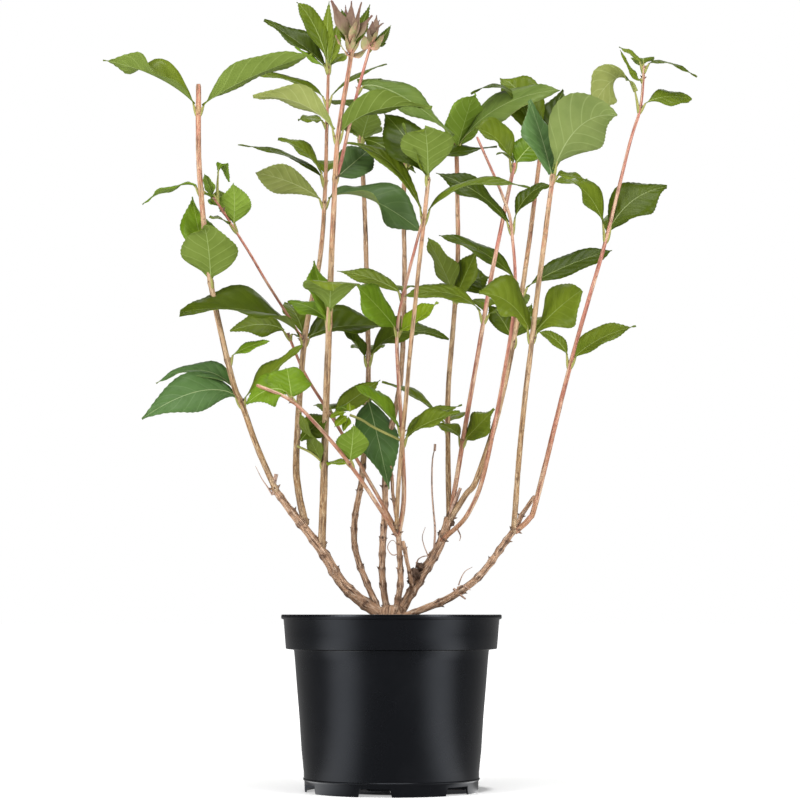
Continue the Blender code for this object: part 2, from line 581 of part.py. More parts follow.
def make_crown(name="root_crown", extra=0.0):
    """The flat-cut, flared root crown from which the boughs fan out."""
    shape = random.Random(SEED)
    lumps = [shape.uniform(0.82, 1.14) for _ in range(CROWN_SIDES)]
    rings = []
    for share, spread in ((0.0, 1.0), (0.3, 0.78), (0.7, 0.9), (1.0, 0.72)):
        up = SOIL_UP + GAP + (CROWN_TOP - SOIL_UP - GAP) * share
        width = CROWN_FOOT_RADIUS + (CROWN_TOP_RADIUS - CROWN_FOOT_RADIUS) * share
        if share == 0.0:
            up -= extra
        if share == 1.0:
            up += extra
        rings.append([Vector((math.cos(turn) * (width * spread * lump + extra) * 1.15 + 2,
                              math.sin(turn) * (width * spread * lump + extra) * 0.9,
                              up))
                      for turn, lump in ((math.tau * k / CROWN_SIDES, lumps[k])
                                         for k in range(CROWN_SIDES))])
    return solid_from_rings(name, rings)


def make_limbs(limbs):
    made = {}
    for name, limb in limbs.items():
        sides = BOUGH_SIDES if name.startswith("bough") else CANE_SIDES
        obj = tube(name, limb, 0.0, 1.0, sides)
        cutters = [make_crown("cut", GAP)]
        for earlier in made:
            other = limbs[earlier]
            other_sides = BOUGH_SIDES if earlier.startswith("bough") else CANE_SIDES
            cutters.append(tube("cut", other, 0.0, 1.0, other_sides, GAP * 1.3, GAP))
        combine(obj, cutters, "DIFFERENCE")
        keep_largest(obj)
        obj.data.shade_smooth()
        made[name] = obj
    return made


def make_mass(name, tiers, limbs, earlier):
    """One closed mass: a hub round the limb at each tier and a blade for each of its leaves."""
    lobes = []
    heights = {}
    for limb_name, up, leaves in tiers:
        heights.setdefault(limb_name, []).append(up)
        limb = limbs[limb_name]
        foot = limb.at(limb.share_at(up))
        lobes += [(blade, (foot, leaf)) for leaf in leaves]
    for limb_name, ups in heights.items():
        limb = limbs[limb_name]
        low = limb.share_at(min(ups)) - HUB_HALF / limb.length
        high = limb.share_at(max(ups)) + HUB_HALF / limb.length
        over = 0.0
        if high > 1.0:
            high = 1.0
            over = 3.0
        lobes.append((hub, (limb, low, high, over)))
    parts = [shape(name, *sizes) for shape, sizes in lobes]
    mass = parts.pop()
    combine(mass, parts, "UNION")
    mass.name = name
    cutters = []
    for limb_name, limb in limbs.items():
        sides = BOUGH_SIDES if limb_name.startswith("bough") else CANE_SIDES
        cutters.append(tube("cut", limb, 0.0, 1.0, sides, GAP * 1.3, GAP * 1.3))
    cutters += [shape("cut", *sizes, GAP * 1.6) for shape, sizes in earlier]
    combine(mass, cutters, "DIFFERENCE")
    keep_largest(mass)
    return mass, lobes


def paint(obj, colour, roughness):
    material = bpy.data.materials.new(obj.name)
    material.use_nodes = True
    shader = material.node_tree.nodes["Principled BSDF"]
    shader.inputs["Base Color"].default_value = (*colour, 1.0)
    shader.inputs["Roughness"].default_value = roughness
    shader.inputs["Metallic"].default_value = 0.0
    obj.data.materials.clear()
    obj.data.materials.append(material)


def stand_on_origin(objects):
    """Hang the pieces on an empty that puts the middle of the footprint over the origin."""
    points = [vertex.co for obj in objects for vertex in obj.data.vertices]
    centre = [(min(p[axis] for p in points) + max(p[axis] for p in points)) / 2 for axis in (0, 1)]
    stand = bpy.data.objects.new("stand", None)
    bpy.context.collection.objects.link(stand)
    stand.location = (-centre[0], -centre[1], 0.0)
    for obj in objects:
        obj.parent = stand


def main():
    for obj in list(bpy.data.objects):
        bpy.data.objects.remove(obj)
    pieces = []
    pot = make_pot()
    paint(pot, POT_BLACK, 0.35)
    soil = make_soil()
    paint(soil, SOIL_BROWN, 0.95)
    crown = make_crown()
    paint(crown, BARK, 0.8)
    pieces += [pot, soil, crown]
    limbs = {name: Limb(name) for name in LIMBS}
    for name, obj in make_limbs(limbs).items():
        paint(obj, limbs[name].colour, 0.6)
        pieces.append(obj)
    earlier = []
    for name, (colour, tiers) in MASSES.items():
        mass, lobes = make_mass(name, tiers, limbs, earlier)
        earlier += lobes
        paint(mass, colour, 0.5)
        pieces.append(mass)
    stand_on_origin(pieces)


main()
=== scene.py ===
"""A potted weigela: a branching shrub with paired, toothed leaves in a round nursery pot.

The shrub is drawn as a plan in millimetres from the pot's axis: how far across, how deep and
how far up each place is as seen along the camera's sight line. sighted() turns a plan place
into a true one. Limbs come first, and every leaf grows from a joint on a limb.
"""
import math
import random
from collections import namedtuple

import bmesh
import bpy
from mathutils import Matrix, Vector, noise


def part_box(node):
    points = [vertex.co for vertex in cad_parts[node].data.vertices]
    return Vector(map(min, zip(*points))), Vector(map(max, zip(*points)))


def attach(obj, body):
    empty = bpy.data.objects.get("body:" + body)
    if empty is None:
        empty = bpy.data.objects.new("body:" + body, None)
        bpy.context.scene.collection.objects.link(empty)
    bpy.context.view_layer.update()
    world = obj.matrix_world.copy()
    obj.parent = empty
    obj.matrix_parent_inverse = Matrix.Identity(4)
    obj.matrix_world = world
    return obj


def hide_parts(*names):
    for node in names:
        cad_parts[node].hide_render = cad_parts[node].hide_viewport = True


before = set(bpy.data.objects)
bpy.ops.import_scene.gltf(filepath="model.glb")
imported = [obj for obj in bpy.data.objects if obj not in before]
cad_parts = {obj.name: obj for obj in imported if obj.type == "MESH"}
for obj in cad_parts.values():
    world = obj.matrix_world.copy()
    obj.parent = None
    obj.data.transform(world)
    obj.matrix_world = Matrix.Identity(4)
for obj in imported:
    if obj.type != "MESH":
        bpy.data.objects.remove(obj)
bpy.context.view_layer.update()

MM = 0.001
SEED = 11
UP = Vector((0.0, 0.0, 1.0))

# the sight line of the plan, in millimetres from the pot's axis
SIGHT_DISTANCE = 2450.0
SIGHT_ACROSS = 8.5
SIGHT_UP = 174.0
PLAN_LEVEL = 176.0
PLAN_MIDDLE = 391.0
SIGHT_PITCH = math.atan((PLAN_MIDDLE - PLAN_LEVEL) / SIGHT_DISTANCE)

# --------------------------------------------------------------------- plan

# limb: (foot radius, tip radius, bark, places from foot to tip as (across, depth, up))
LIMBS = {
    "bough_left": (6.4, 3.4, "wood", (
        (-5, 0, 172), (-33.5, -3, 193), (-51.5, -6, 210), (-69.5, -10, 240), (-117, -18, 302))),
    "bough_middle": (5, 4.4, "wood", (
        (4, 3, 172), (21.5, 8, 201), (33.5, 10, 221), (48.5, 12, 246), (58, 12, 274))),
    "bough_right": (3.6, 3.2, "wood", (
        (5, -5, 172), (42.5, -14, 186), (67.5, -20, 199), (90.5, -26, 218), (122.5, -34, 261))),
    "stem_centre": (3.2, 2.7, "wood", (
        (1, -7, 172), (8.5, -9, 201), (8.5, -10, 228), (7, -11, 257))),
    "stem_strut": (2.1, 1.9, "wood", (
        (21, 6, 200), (17.5, -12, 219), (11.5, -20, 250))),
    "left_cane_1": (3, 2.6, "tan", (
        (-115, -18, 299), (-135.5, -22, 347), (-150, -26, 388), (-159, -29, 412),
        (-180.5, -38, 507), (-192, -50, 619), (-193, -58, 707))),
    "left_cane_2": (3.7, 1.5, "tan", (
        (-86, -11, 266), (-93, -6, 300), (-95, 0, 339), (-87, 16, 451), (-71.5, 32, 534),
        (-66.5, 44, 600), (-63, 62, 722))),
    "left_cane_3": (3.9, 2.1, "tan", (
        (-70, -10, 243), (-68, -16, 299), (-64.5, -28, 401), (-58, -56, 572), (-54, -68, 651),
        (-41, -80, 731), (-40.5, -82, 748))),
    "left_cane_3_side": (1.9, 1.4, "young", (
        (-56.5, -62, 612), (-50.5, -58, 629), (-35, -46, 695), (-22, -40, 742), (-20, -40, 750))),
    "left_cane_4": (3.2, 2.2, "wood", (
        (-13, 2, 181), (-33.5, 16, 231), (-37, 26, 268), (-28.5, 44, 323), (-23.5, 74, 419),
        (-26.5, 116, 572), (-31, 138, 661))),
    "left_cane_5": (3.3, 2.2, "wood", (
        (-4, 5, 176), (-9.5, 10, 220), (-6.5, 20, 291), (-5.5, 30, 338), (9, 58, 410),
        (12.5, 78, 500), (12.5, 96, 600), (15.5, 100, 640))),
    "left_cane_2_side": (1.5, 1.2, "young", (
        (-87.5, 15, 449), (-118.5, -2, 499), (-158, -26, 563), (-178, -36, 594))),
    "centre_cane_1": (2.1, 1.6, "young", (
        (6, -11, 255), (-12, -22, 283), (-40.5, -44, 325), (-74.5, -76, 366), (-101, -98, 391),
        (-135, -108, 406))),
    "centre_cane_2": (1.9, 1.4, "young", (
        (5, -8, 262), (-1.5, -5, 273), (-35.5, 4, 333), (-60, 14, 375), (-85.5, 30, 415),
        (-104, 28, 458))),
    "centre_cane_3": (2.5, 1.4, "young", (
        (7, -11, 255), (12.5, -14, 291), (11.5, -18, 340), (7.5, -14, 406), (6, -4, 457),
        (12.5, 8, 499), (30, 30, 567))),
    "centre_cane_3_fork": (2.2, 2, "tan", (
        (5, -13, 262), (6.5, -20, 301), (10.5, -26, 346), (16, -34, 409), (23.5, -52, 486),
        (37, -88, 614))),
    "stub_centre": (2, 1.6, "wood", (
        (7.5, -8, 258), (2.5, -2, 291), (-1, 4, 325))),
    "middle_cane_1": (2.8, 2.2, "tan", (
        (57.5, 12, 270), (56.5, 36, 347), (57.5, 58, 411), (66, 92, 530), (64.5, 118, 663))),
    "middle_cane_2": (2.5, 2.0, "young", (
        (58.5, 12, 271), (65.5, 14, 315), (85, 24, 428), (102.5, 36, 528), (123, 50, 628))),
    "middle_cane_3": (3.1, 2.2, "tan", (
        (58, 11, 271), (74, 6, 296), (86.5, 6, 315), (110.5, 20, 395), (131, 48, 501),
        (149, 92, 638))),
    "middle_cane_4": (2.4, 1.3, "young", (
        (50, 10, 250), (77.5, -9, 279), (96.5, -14, 335), (122, -26, 480), (120.5, -32, 557),
        (112.5, -30, 592), (85.5, -18, 654))),
    "right_cane_1": (2.8, 2.3, "tan", (
        (122, -34, 258), (124, -38, 285), (129.5, -52, 355), (140.5, -78, 454),
        (161.5, -126, 617))),
    "right_cane_2": (2.8, 1.4, "young", (
        (123, -34, 259), (137.5, -32, 272), (145.5, -28, 293), (179, -12, 427), (215, 8, 553),
        (238, 22, 647), (249, 29, 684), (252.5, 37, 725))),
    "stub_right": (2.3, 2, "wood", (
        (121, -33, 257), (131, -22, 277), (143, -16, 295))),
}

# A leaf: its tip (across, out from the joint in depth, up), its width and the rise of its
# arch, roll about its rib and fold along it in degrees, and its tint. Then, where they are
# given, its twist in degrees, the droop of its tip, where it is widest and where it twists
# from, as shares of its length.
Leaf = namedtuple(
    "Leaf", "across out up width arch roll fold tint twist curl widest twists_from",
    defaults=(0.0, 0.0, None, 0.15))

# mass of foliage: its joints, each (limb, height in the plan, leaves)
FOLIAGE = {
    "foliage_left_cane_1_top": (
        ("left_cane_1", 681, (
            (-288.5, -18, 731, 46, 11, 35, 44, "m", -85, 0, 0.42, 0.45),
            (-79.5, -26, 736.5, 42, 8, -30, 46, "m"))),
    ),
    "foliage_left_cane_1_upper": (
        ("left_cane_1", 601, (
            (-249.5, 22, 587, 34, 10, 12, 12, "l"),
            (-178, 12, 594, 8, 0, 0, 10, "l"))),
        ("left_cane_2_side", 563, (
            (-158, -14, 608, 36, 1, 0, 25, "l"),
            (-182.5, -18, 574, 24, 3, 20, 15, "m"))),
        ("left_cane_2_side", 580, (
            (-183, 18, 592, 16, 2, 10, 15, "l"),
            (-173, 16, 602, 20, 0, 0, 10, "m"))),
        ("left_cane_2_side", 592, (
            (-187, -6, 617, 22, 0, 0, 10, "l"),
            (-162.5, 8, 609, 17, 28, 20, 10, "l"))),
    ),
    "foliage_left_cane_1_middle": (
        ("left_cane_1", 508, (
            (-188.5, -32, 574, 58, 2, 0, 12, "m", 0, 11),
            (-199.5, 26, 594, 44, 2, 0, 12, "l"))),
    ),
    "foliage_left_cane_1_low": (
        ("left_cane_1", 389, (
            (-249.5, -30, 372, 46, 18, 60, 12, "b"),
            (-235.5, 26, 408, 34, 23, 30, 22, "b"),
            (-89.5, -26, 446, 36, 2, 45, 20, "m"))),
        ("left_cane_1", 431, (
            (-122, -10, 450, 16, 4, 45, 10, "l"),)),
    ),
    "foliage_left_cane_2_low": (
        ("left_cane_2", 450, (
            (-211.5, -98, 478, 62, 19, 35, 30, "d"),
            (-0.5, 34, 464, 54, 9, 40, 30, "d"),
            (-107.5, 40, 488, 26, 10, 0, 10, "m"))),
        ("centre_cane_2", 456, (
            (-161.5, -10, 460, 38, 9, 50, 15, "m"),
            (-86, -12, 452, 14, 2, 0, 10, "m"))),
    ),
    "foliage_left_cane_2_middle": (
        ("left_cane_2", 587, (
            (-136, -24, 618.5, 35, 7, -45, 10, "s", 0, 0, 0.6),
            (32.5, 34, 557, 60, 20, 14, 30, "n", 62, 0, 0.5, 0.25))),
        ("left_cane_2", 609, (
            (-153.5, 22, 646, 19, 11, 20, 12, "d"),
            (-113.5, -14, 652, 31, 12, 40, 20, "m"),
            (-60, 74, 622, 36, 16, 0, 10, "m"))),
    ),
    "foliage_left_cane_2_top": (
        ("left_cane_2", 667, (
            (-93.5, -6, 671, 34, 4, 25, 10, "m"),)),
        ("left_cane_2", 689, (
            (-146.5, 18, 717, 22, 10, 26, 20, "m"),
            (-4.5, 20, 727, 18, 9, 15, 5, "d"),
            (-28, 62, 681, 26, 4, 0, 10, "m"))),
        ("left_cane_2", 723, (
            (-127.5, 12, 771, 34, 4, 40, 30, "d"),
            (-94.5, -12, 789, 26, 14, 75, 15, "m"),
            (-62.5, 2, 790, 13, 0, 0, 10, "m"),
            (-96.5, -20, 744, 20, 0, 40, 10, "l"),
            (-52.5, 10, 771, 14, 0, 0, 10, "m"),
            (-47, 30, 738, 22, 2, 0, 10, "m"))),
    ),
    "foliage_left_cane_3_middle": (
        ("left_cane_3", 466, (
            (-58, -64, 500, 56, 26, 0, 8, "m"),
            (-78, 14, 530, 40, 2, 0, 10, "l"),
            (-104, 34, 489, 28, 7, 30, 10, "l"))),
    ),
    "foliage_left_cane_3_upper": (
        ("left_cane_3", 653, (
            (-138.5, -22, 694, 38, 16, -28, 40, "s"),
            (40.5, -20, 683, 43, 15, -30, 44, "m", 0, 0, 0.33))),
        ("left_cane_3", 612, (
            (-16.5, 26, 646, 40, 0, 50, 10, "n"),)),
    ),
    "foliage_buds_left": (
        ("left_cane_3", 735, (
            (-56, -9, 756, 13, -3, 35, 10, "h"),
            (-25, 6, 742, 11, -2, 35, 10, "h"))),
        ("left_cane_3", 745, (
            (-60.5, -5, 790.5, 17, 3, 60, 10, "p"),
            (-40, 7, 790, 12, 0, 0, 10, "p"),
            (-30, -6, 789, 15, -3, 60, 10, "p"),
            (-21.5, 9, 786.5, 13, -4, 60, 10, "d"),
            (-19, -11, 775.5, 16, 3, 60, 10, "p"))),
    ),
    "foliage_buds_right": (
        ("left_cane_3_side", 702, (
            (62, 10, 655, 42, 15, 50, 10, "s"),
            (-6, 46, 690, 26, 14, 0, 10, "m"))),
        ("left_cane_3_side", 745, (
            (-14.5, 5, 776, 9, 0, 0, 10, "p"),
            (-7.5, -5, 757, 14, -4, 60, 10, "h"),
            (-28.5, 6, 757, 14, -4, 60, 10, "h"),
            (-0.5, 8, 766, 10, -5, 60, 10, "d"))),
    ),
    "foliage_left_cane_4_low": (
        ("left_cane_4", 392, (
            (-2.5, -84, 302, 44, 4, 0, 10, "b"),
            (-27, 66, 384, 34, 10, 0, 10, "d"))),
    ),
    "foliage_left_cane_4_middle": (
        ("left_cane_4", 429, (
            (-49.5, -10, 462, 27, 2, 44, 40, "d"),
            (57.5, -20, 452, 46, 20, 44, 25, "d", 0, 0, 0.3),
            (-24, 76, 440, 36, 12, 0, 10, "m"))),
    ),
    "foliage_back_top": (
        ("left_cane_4", 650, (
            (-19.5, -20, 686, 36, 0, 0, 10, "m"),
            (-46.5, 10, 673, 26, 2, 20, 10, "d"),
            (24, -42, 618, 36, 8, 40, 10, "d"),
            (-25, 76, 650, 40, 14, 0, 10, "m"))),
        ("left_cane_5", 624, (
            (-29.5, 34, 640, 26, 3, 20, 20, "d"),
            (19.5, -14, 648, 20, 0, 0, 10, "d"),
            (105.5, 12, 644, 34, 4, 30, 20, "d"),
            (20, 70, 630, 36, 14, 0, 10, "m"))),
    ),
    "foliage_centre_cane_1_tip": (
        ("centre_cane_1", 390, (
            (-145, -6, 387, 38, 13, 60, 5, "l"),
            (-106, 14, 430, 46, 0, 0, 10, "l", 0, 8))),
    ),
    "foliage_low_left": (
        ("centre_cane_1", 327, (
            (-66, 28, 329, 18, 1, 20, 10, "y"),
            (-38, -16, 367, 34, 0, 0, 10, "l"))),
        ("left_cane_3", 327, (
            (-92, -10, 378, 36, -4, 0, 10, "d"),)),
    ),
    "foliage_centre_cane_2": (
        ("centre_cane_2", 376, (
            (-11.5, 20, 411, 26, 0, 50, 15, "m"),
            (-66, 50, 378, 30, 10, 0, 10, "m"))),
    ),
    "foliage_centre_cane_3_low": (
        ("centre_cane_3", 350, (
            (70.5, 16, 386, 24, 6, 34, 30, "m"),
            (68.5, -14, 379, 30, 5, 44, 30, "m"))),
        ("centre_cane_3", 359, (
            (-36.5, -22, 406, 42, 3, 38, 34, "l"),)),
    ),
    "foliage_centre_cane_3_middle": (
        ("centre_cane_3", 459, (
            (-36.5, -30, 507, 50, 4, 65, 8, "l"),
            (46.5, -20, 489, 36, -2, 50, 30, "y"))),
        ("centre_cane_3", 495, (
            (-54.5, 14, 520, 28, 6, 38, 15, "m"),
            (10, 46, 500, 26, 8, 0, 10, "m"))),
    ),
    "foliage_centre_fork_top": (
        ("centre_cane_3_fork", 572, (
            (-44.5, 34, 648, 24, 23, 30, 20, "m"),
            (138.5, -20, 603, 32, 20, 25, 20, "m"))),
        ("centre_cane_3_fork", 611, (
            (33, -22, 671, 52, 0, 0, 10, "m", 0, 8, 0.58),
            (11, 5, 668, 30, 0, 0, 10, "m"),
            (-7.5, 52, 678, 50, 6, 30, 10, "d"),
            (40, 60, 640, 30, 12, 0, 10, "m"))),
    ),
    "foliage_middle_low": (
        ("middle_cane_1", 362, (
            (-9.5, -18, 409, 32, 9, 24, 24, "m"),
            (57, 76, 370, 34, 12, 0, 10, "m"))),
        ("middle_cane_2", 349, (
            (44.5, 22, 367, 22, 5, 20, 20, "m"),
            (103, -12, 382, 44, 0, 50, 10, "m"))),
    ),
    "foliage_middle_cane_1_middle": (
        ("middle_cane_1", 492, (
            (36.5, -16, 553, 46, 4, 0, 20, "d"),
            (87.5, -30, 544, 36, 0, 85, 10, "m"),
            (98.5, 10, 514, 42, 9, 50, 10, "d"),
            (64, 70, 500, 36, 12, 0, 10, "m"))),
    ),
    "foliage_middle_cane_1_top": (
        ("middle_cane_1", 640, (
            (84, -22, 703, 54, 0, 0, 12, "l", 0, 6),
            (168.5, -50, 701, 50, 20, 52, 10, "s"),
            (60, 64, 640, 36, 14, 0, 10, "m"))),
    ),
    "foliage_middle_cane_2_middle": (
        ("middle_cane_2", 473, (
            (10.5, -24, 494, 34, 16, 38, 15, "m"),
            (111.5, -6, 482, 14, 2, 20, 10, "m"),
            (98, 50, 488, 34, 12, 0, 10, "m"))),
    ),
    "foliage_middle_cane_2_top": (
        ("middle_cane_2", 623, (
            (82.5, -16, 662, 50, 13, 54, 32, "m"),
            (151.5, 10, 655, 32, 4, 60, 10, "l"),
            (122, 56, 632, 34, 12, 0, 10, "m"))),
    ),
    "foliage_middle_cane_3_middle": (
        ("middle_cane_3", 448, (
            (96.5, 16, 487, 26, 6, 40, 10, "d"),)),
        ("middle_cane_3", 500, (
            (47.5, 16, 556, 31, 13, 30, 15, "d"),
            (220.5, 14, 541, 36, 5, 42, 15, "d", 0, 0, 0.54),
            (118, 70, 476, 30, 4, 0, 10, "m"))),
    ),
    "foliage_middle_cane_3_top": (
        ("middle_cane_3", 636, (
            (108.5, 40, 712, 44, 26, 55, 10, "m"),
            (172, 20, 701, 46, 4, 30, 10, "d"),
            (150, 76, 650, 36, 14, 0, 10, "m"))),
    ),
    "foliage_middle_cane_4": (
        ("middle_cane_4", 562, (
            (44.5, 10, 618, 32, 11, 25, 15, "d", 35),
            (160, 14, 606, 25, 15, 28, 15, "d"))),
    ),
    "foliage_right_cane_1_middle": (
        ("right_cane_1", 453, (
            (87.5, -20, 498, 64, 15, 52, 20, "m"),
            (190, -22, 501, 58, 5, 62, 6, "m", 0, 0, 0.58),
            (150, 60, 470, 34, 12, 0, 10, "m"))),
    ),
    "foliage_right_cane_1_top": (
        ("right_cane_1", 613, (
            (225.5, -22, 675, 70, 25, -64, 32, "n"),
            (137.5, 25, 691, 50, 0, 0, 10, "b"),
            (195.5, 10, 611, 24, 4, 30, 10, "m"),
            (168, 64, 640, 34, 14, 0, 10, "m"))),
    ),
    "foliage_right_cane_2_low": (
        ("right_cane_2", 428, (
            (146.5, 12, 459.5, 19, 9, 35, 15, "m"),
            (244.5, -18, 465, 34, 8, 50, 25, "m", 0, 0, 0.37))),
    ),
    "foliage_right_cane_2_middle": (
        ("right_cane_2", 554, (
            (161.5, -22, 609, 46, 24, 55, 15, "m", -28, 0, 0.34),
            (275.5, 18, 604, 50, 15, 50, 8, "d"),
            (236, 64, 588, 30, 4, 0, 10, "m"))),
    ),
    "foliage_right_cane_2_top": (
        ("right_cane_2", 683, (
            (199.5, -14, 681, 48, 33, 30, 10, "s", -105, 0, 0.6),
            (300.5, 12, 692, 34, 7, 40, 8, "m", 0, 0, 0.56))),
        ("right_cane_2", 713, (
            (229, -8, 741, 22, -9, 40, 10, "m"),)),
        ("right_cane_2", 723, (
            (305.5, -8, 714, 18, 10, 20, 10, "d"),
            (227.5, 8, 744, 16, 4, 20, 15, "m"),
            (250, 50, 724, 24, 10, 0, 10, "m"))),
    ),
}

# masses whose leaves are mostly dark: old leaves, and leaves that lie in shade, whose dark tint is
# painted shade
DARK_MASSES = (
    "foliage_left_cane_1_middle",
    "foliage_left_cane_2_low",
    "foliage_left_cane_2_top",
    "foliage_left_cane_4_low",
    "foliage_left_cane_4_middle",
    "foliage_back_top",
    "foliage_middle_low",
    "foliage_middle_cane_1_middle",
    "foliage_middle_cane_3_top",
    "foliage_right_cane_2_middle",
)
BUD_MASSES = ("foliage_buds_left", "foliage_buds_right")

# joints with bracts and leaves too small to stand as masses
FINE_LEAVES = (
    ("middle_cane_3", 636, (
        (79.5, 10, 697, 20, 40, 25, 10, "d"),)),
    ("middle_cane_3", 448, (
        (140, 16, 487, 26, 4, 40, 10, "d"),)),
    ("left_cane_3", 735, (
        (-37, -8, 757, 6, 0, 0, 10, "h"),
        (-46, -10, 756, 5, 0, 0, 10, "h"),
        (-33, 10, 762, 9, 0, 0, 10, "m"),
        (-31, -4, 752, 5, 0, 0, 10, "h"))),
    ("left_cane_3", 745, (
        (-50, 6, 782, 10, 0, 0, 10, "d"),
        (-35, -10, 772, 10, 0, 0, 10, "h"),
        (-46, 12, 786, 9, 0, 0, 10, "p"),
        (-52, 6, 763, 10, 0, 30, 10, "m"))),
    ("left_cane_3_side", 748, (
        (-24, -6, 764, 9, 0, 30, 10, "p"),
        (-19, -5, 770, 8, 0, 0, 10, "p"),
        (-12, 6, 771, 6, 2, 60, 10, "p"),
        (-13, -5, 762, 7, 0, 0, 10, "h"),
        (-18, 8, 766, 9, 0, 0, 10, "m"),
        (-8, -6, 768, 5, 5, 60, 10, "p"),
        (-5.5, 5, 748, 5, -2, 60, 10, "d"))),
)

# side stalks: (limb, height in the plan, further places, radius, leaves at the end)
SIDE_STALKS = (
    ("left_cane_3", 327, ((-80, -16, 338), (-94.5, -18, 345)), 1.2, (
        (-62, -6, 375, 38, 4, 50, 10, "d"),)),
    ("centre_cane_3", 350, ((-16.5, -22, 363), (-29.5, -28, 371), (-41.5, -32, 376)), 1.3, (
        (-62, -6, 373, 12, 4, 30, 10, "y"),
        (-57, -8, 364, 12, 2, 30, 10, "y"),
        (-48, -6, 360, 11, 2, 10, 10, "y"),
        (-55, 6, 383, 12, 4, 30, 10, "l"),
        (-42, 8, 388, 10, 0, 0, 10, "y"))),
)

# dead twigs: (foot radius, tip radius, places)
DEAD_TWIGS = (
    (2.4, 1.8, ((-118, -18, 296), (-117.5, -19, 306), (-115.5, -20, 317))),
    (1.0, 0.25, ((-119, -19, 296), (-124, -22, 304), (-130, -26, 313), (-136, -30, 325))),
    (1.1, 0.6, ((42, 11, 234), (43.3, 8, 262), (40.5, 4, 299), (40.8, 2, 330), (43.4, 0, 343))),
    (0.7, 0.25, ((39, 11, 230), (33, 9, 244), (30.8, 8, 254), (33.8, 7, 264))),
    (0.7, 0.25, ((67, -20, 206), (70, -24, 214), (74, -26, 220), (81, -28, 224))),
    (0.6, 0.25, (
        (9, -11, 238), (1, -14, 236), (-4, -16, 243), (-1, -17, 250), (3, -18, 250),
        (5, -18, 246))),
    (1.7, 0.9, ((62, -19, 202), (69, -22, 196), (74, -24, 192))),
    (1.3, 0.4, ((66, -20, 203), (72, -24, 205), (79, -27, 201))),
    (2.2, 1.9, ((57, 12, 271), (62, 10, 286), (69, 8, 303))),
    (1.1, 1.2, ((43, 0, 340), (43.4, 0, 344), (43.6, 0, 347))),
    (0.8, 0.3, ((24, 8, 222), (27, 4, 232), (36, 2, 235), (38, 0, 228))),
    (0.9, 0.3, ((66, 12, 262), (69, 8, 255), (68, 6, 250))),
)

# dead knobs of old wood: (place, radius)
DEAD_KNOBS = (
    ((23, 2, 217), 5.5),
    ((29, 6, 224), 4.0),
    ((19.5, -2, 210), 3.5),
    ((50, 13, 257), 3.6),
    ((60, 12, 268), 3.0),
)


def pot_axis():
    """The point on the ground under the middle of the pot."""
    low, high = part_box("pot")
    return Vector((0.5 * (low.x + high.x), 0.5 * (low.y + high.y), 0.0))


AXIS = pot_axis()


def sighted(place):
    """A plan place (across, depth, up), drawn as seen along the sight line, as a true point."""
    across, depth, up = place
    rise = (up - PLAN_MIDDLE) / SIGHT_DISTANCE
    reach = (SIGHT_DISTANCE + depth) / (math.cos(SIGHT_PITCH) - rise * math.sin(SIGHT_PITCH))
    return Vector((SIGHT_ACROSS + (across - SIGHT_ACROSS) / SIGHT_DISTANCE * reach, depth,
                   SIGHT_UP + (math.sin(SIGHT_PITCH) + rise * math.cos(SIGHT_PITCH)) * reach))


def curve_through(places, samples=64):
    """Plan places on a smooth curve through the given ones."""
    points = [Vector(place) for place in places]
    points = [points[0] * 2 - points[1]] + points + [points[-1] * 2 - points[-2]]
    spans = len(places) - 1
    line = []
    for sample in range(samples + 1):
        along = spans * sample / samples
        span = min(int(along), spans - 1)
        t = along - span
        a, b, c, d = points[span:span + 4]
        line.append(0.5 * (2 * b + (c - a) * t + (2 * a - 5 * b + 4 * c - d) * t * t
                           + (3 * b - a - 3 * c + d) * t * t * t))
    return line


# how far ahead and behind a limb's or a blade's direction is taken, as a share of its length
LIMB_LOOK = 0.01
BLADE_LOOK = 0.02


class Limb:
    """One bough or cane: a tapering round run along a smooth curve."""

    def __init__(self, name, foot_radius, tip_radius, bark, places):
        self.name = name
        self.bark = bark
        self.foot_radius = foot_radius
        self.tip_radius = tip_radius
        self.plan = curve_through(places)
        self.line = [sighted(place) for place in self.plan]
        self.reach = [0.0]
        for low, high in zip(self.line, self.line[1:]):
            self.reach.append(self.reach[-1] + (high - low).length)
        self.length = self.reach[-1]
        self.nodes = []
        self.scars = []

    def at(self, share):
        """The point at a share of the length."""
        target = share * self.length
        for step in range(len(self.line) - 1):
            if self.reach[step + 1] >= target or step == len(self.line) - 2:
                part = (target - self.reach[step]) / (self.reach[step + 1] - self.reach[step])
                return self.line[step].lerp(self.line[step + 1], part)

    def share_at(self, up):
        """The share of the length at which the plan reaches a height."""
        for step in range(len(self.plan) - 1):
            low, high = self.plan[step].z, self.plan[step + 1].z
            if high >= up or step == len(self.plan) - 2:
                part = min(1.0, max(0.0, (up - low) / (high - low)))
                return (self.reach[step] * (1 - part) + self.reach[step + 1] * part) / self.length

    def heading(self, share):
        """The direction of growth at a share of the length."""
        ahead = self.at(min(1.0, share + LIMB_LOOK))
        return (ahead - self.at(max(0.0, share - LIMB_LOOK))).normalized()

    def radius(self, share):
        """The bare radius at a share of the length."""
        return self.foot_radius + (self.tip_radius - self.foot_radius) * share


# ---------------------------------------------------------------- materials

# where a Mix node takes and gives its colours
FIRST_COLOUR = 6
SECOND_COLOUR = 7
BLENDED_COLOUR = 2


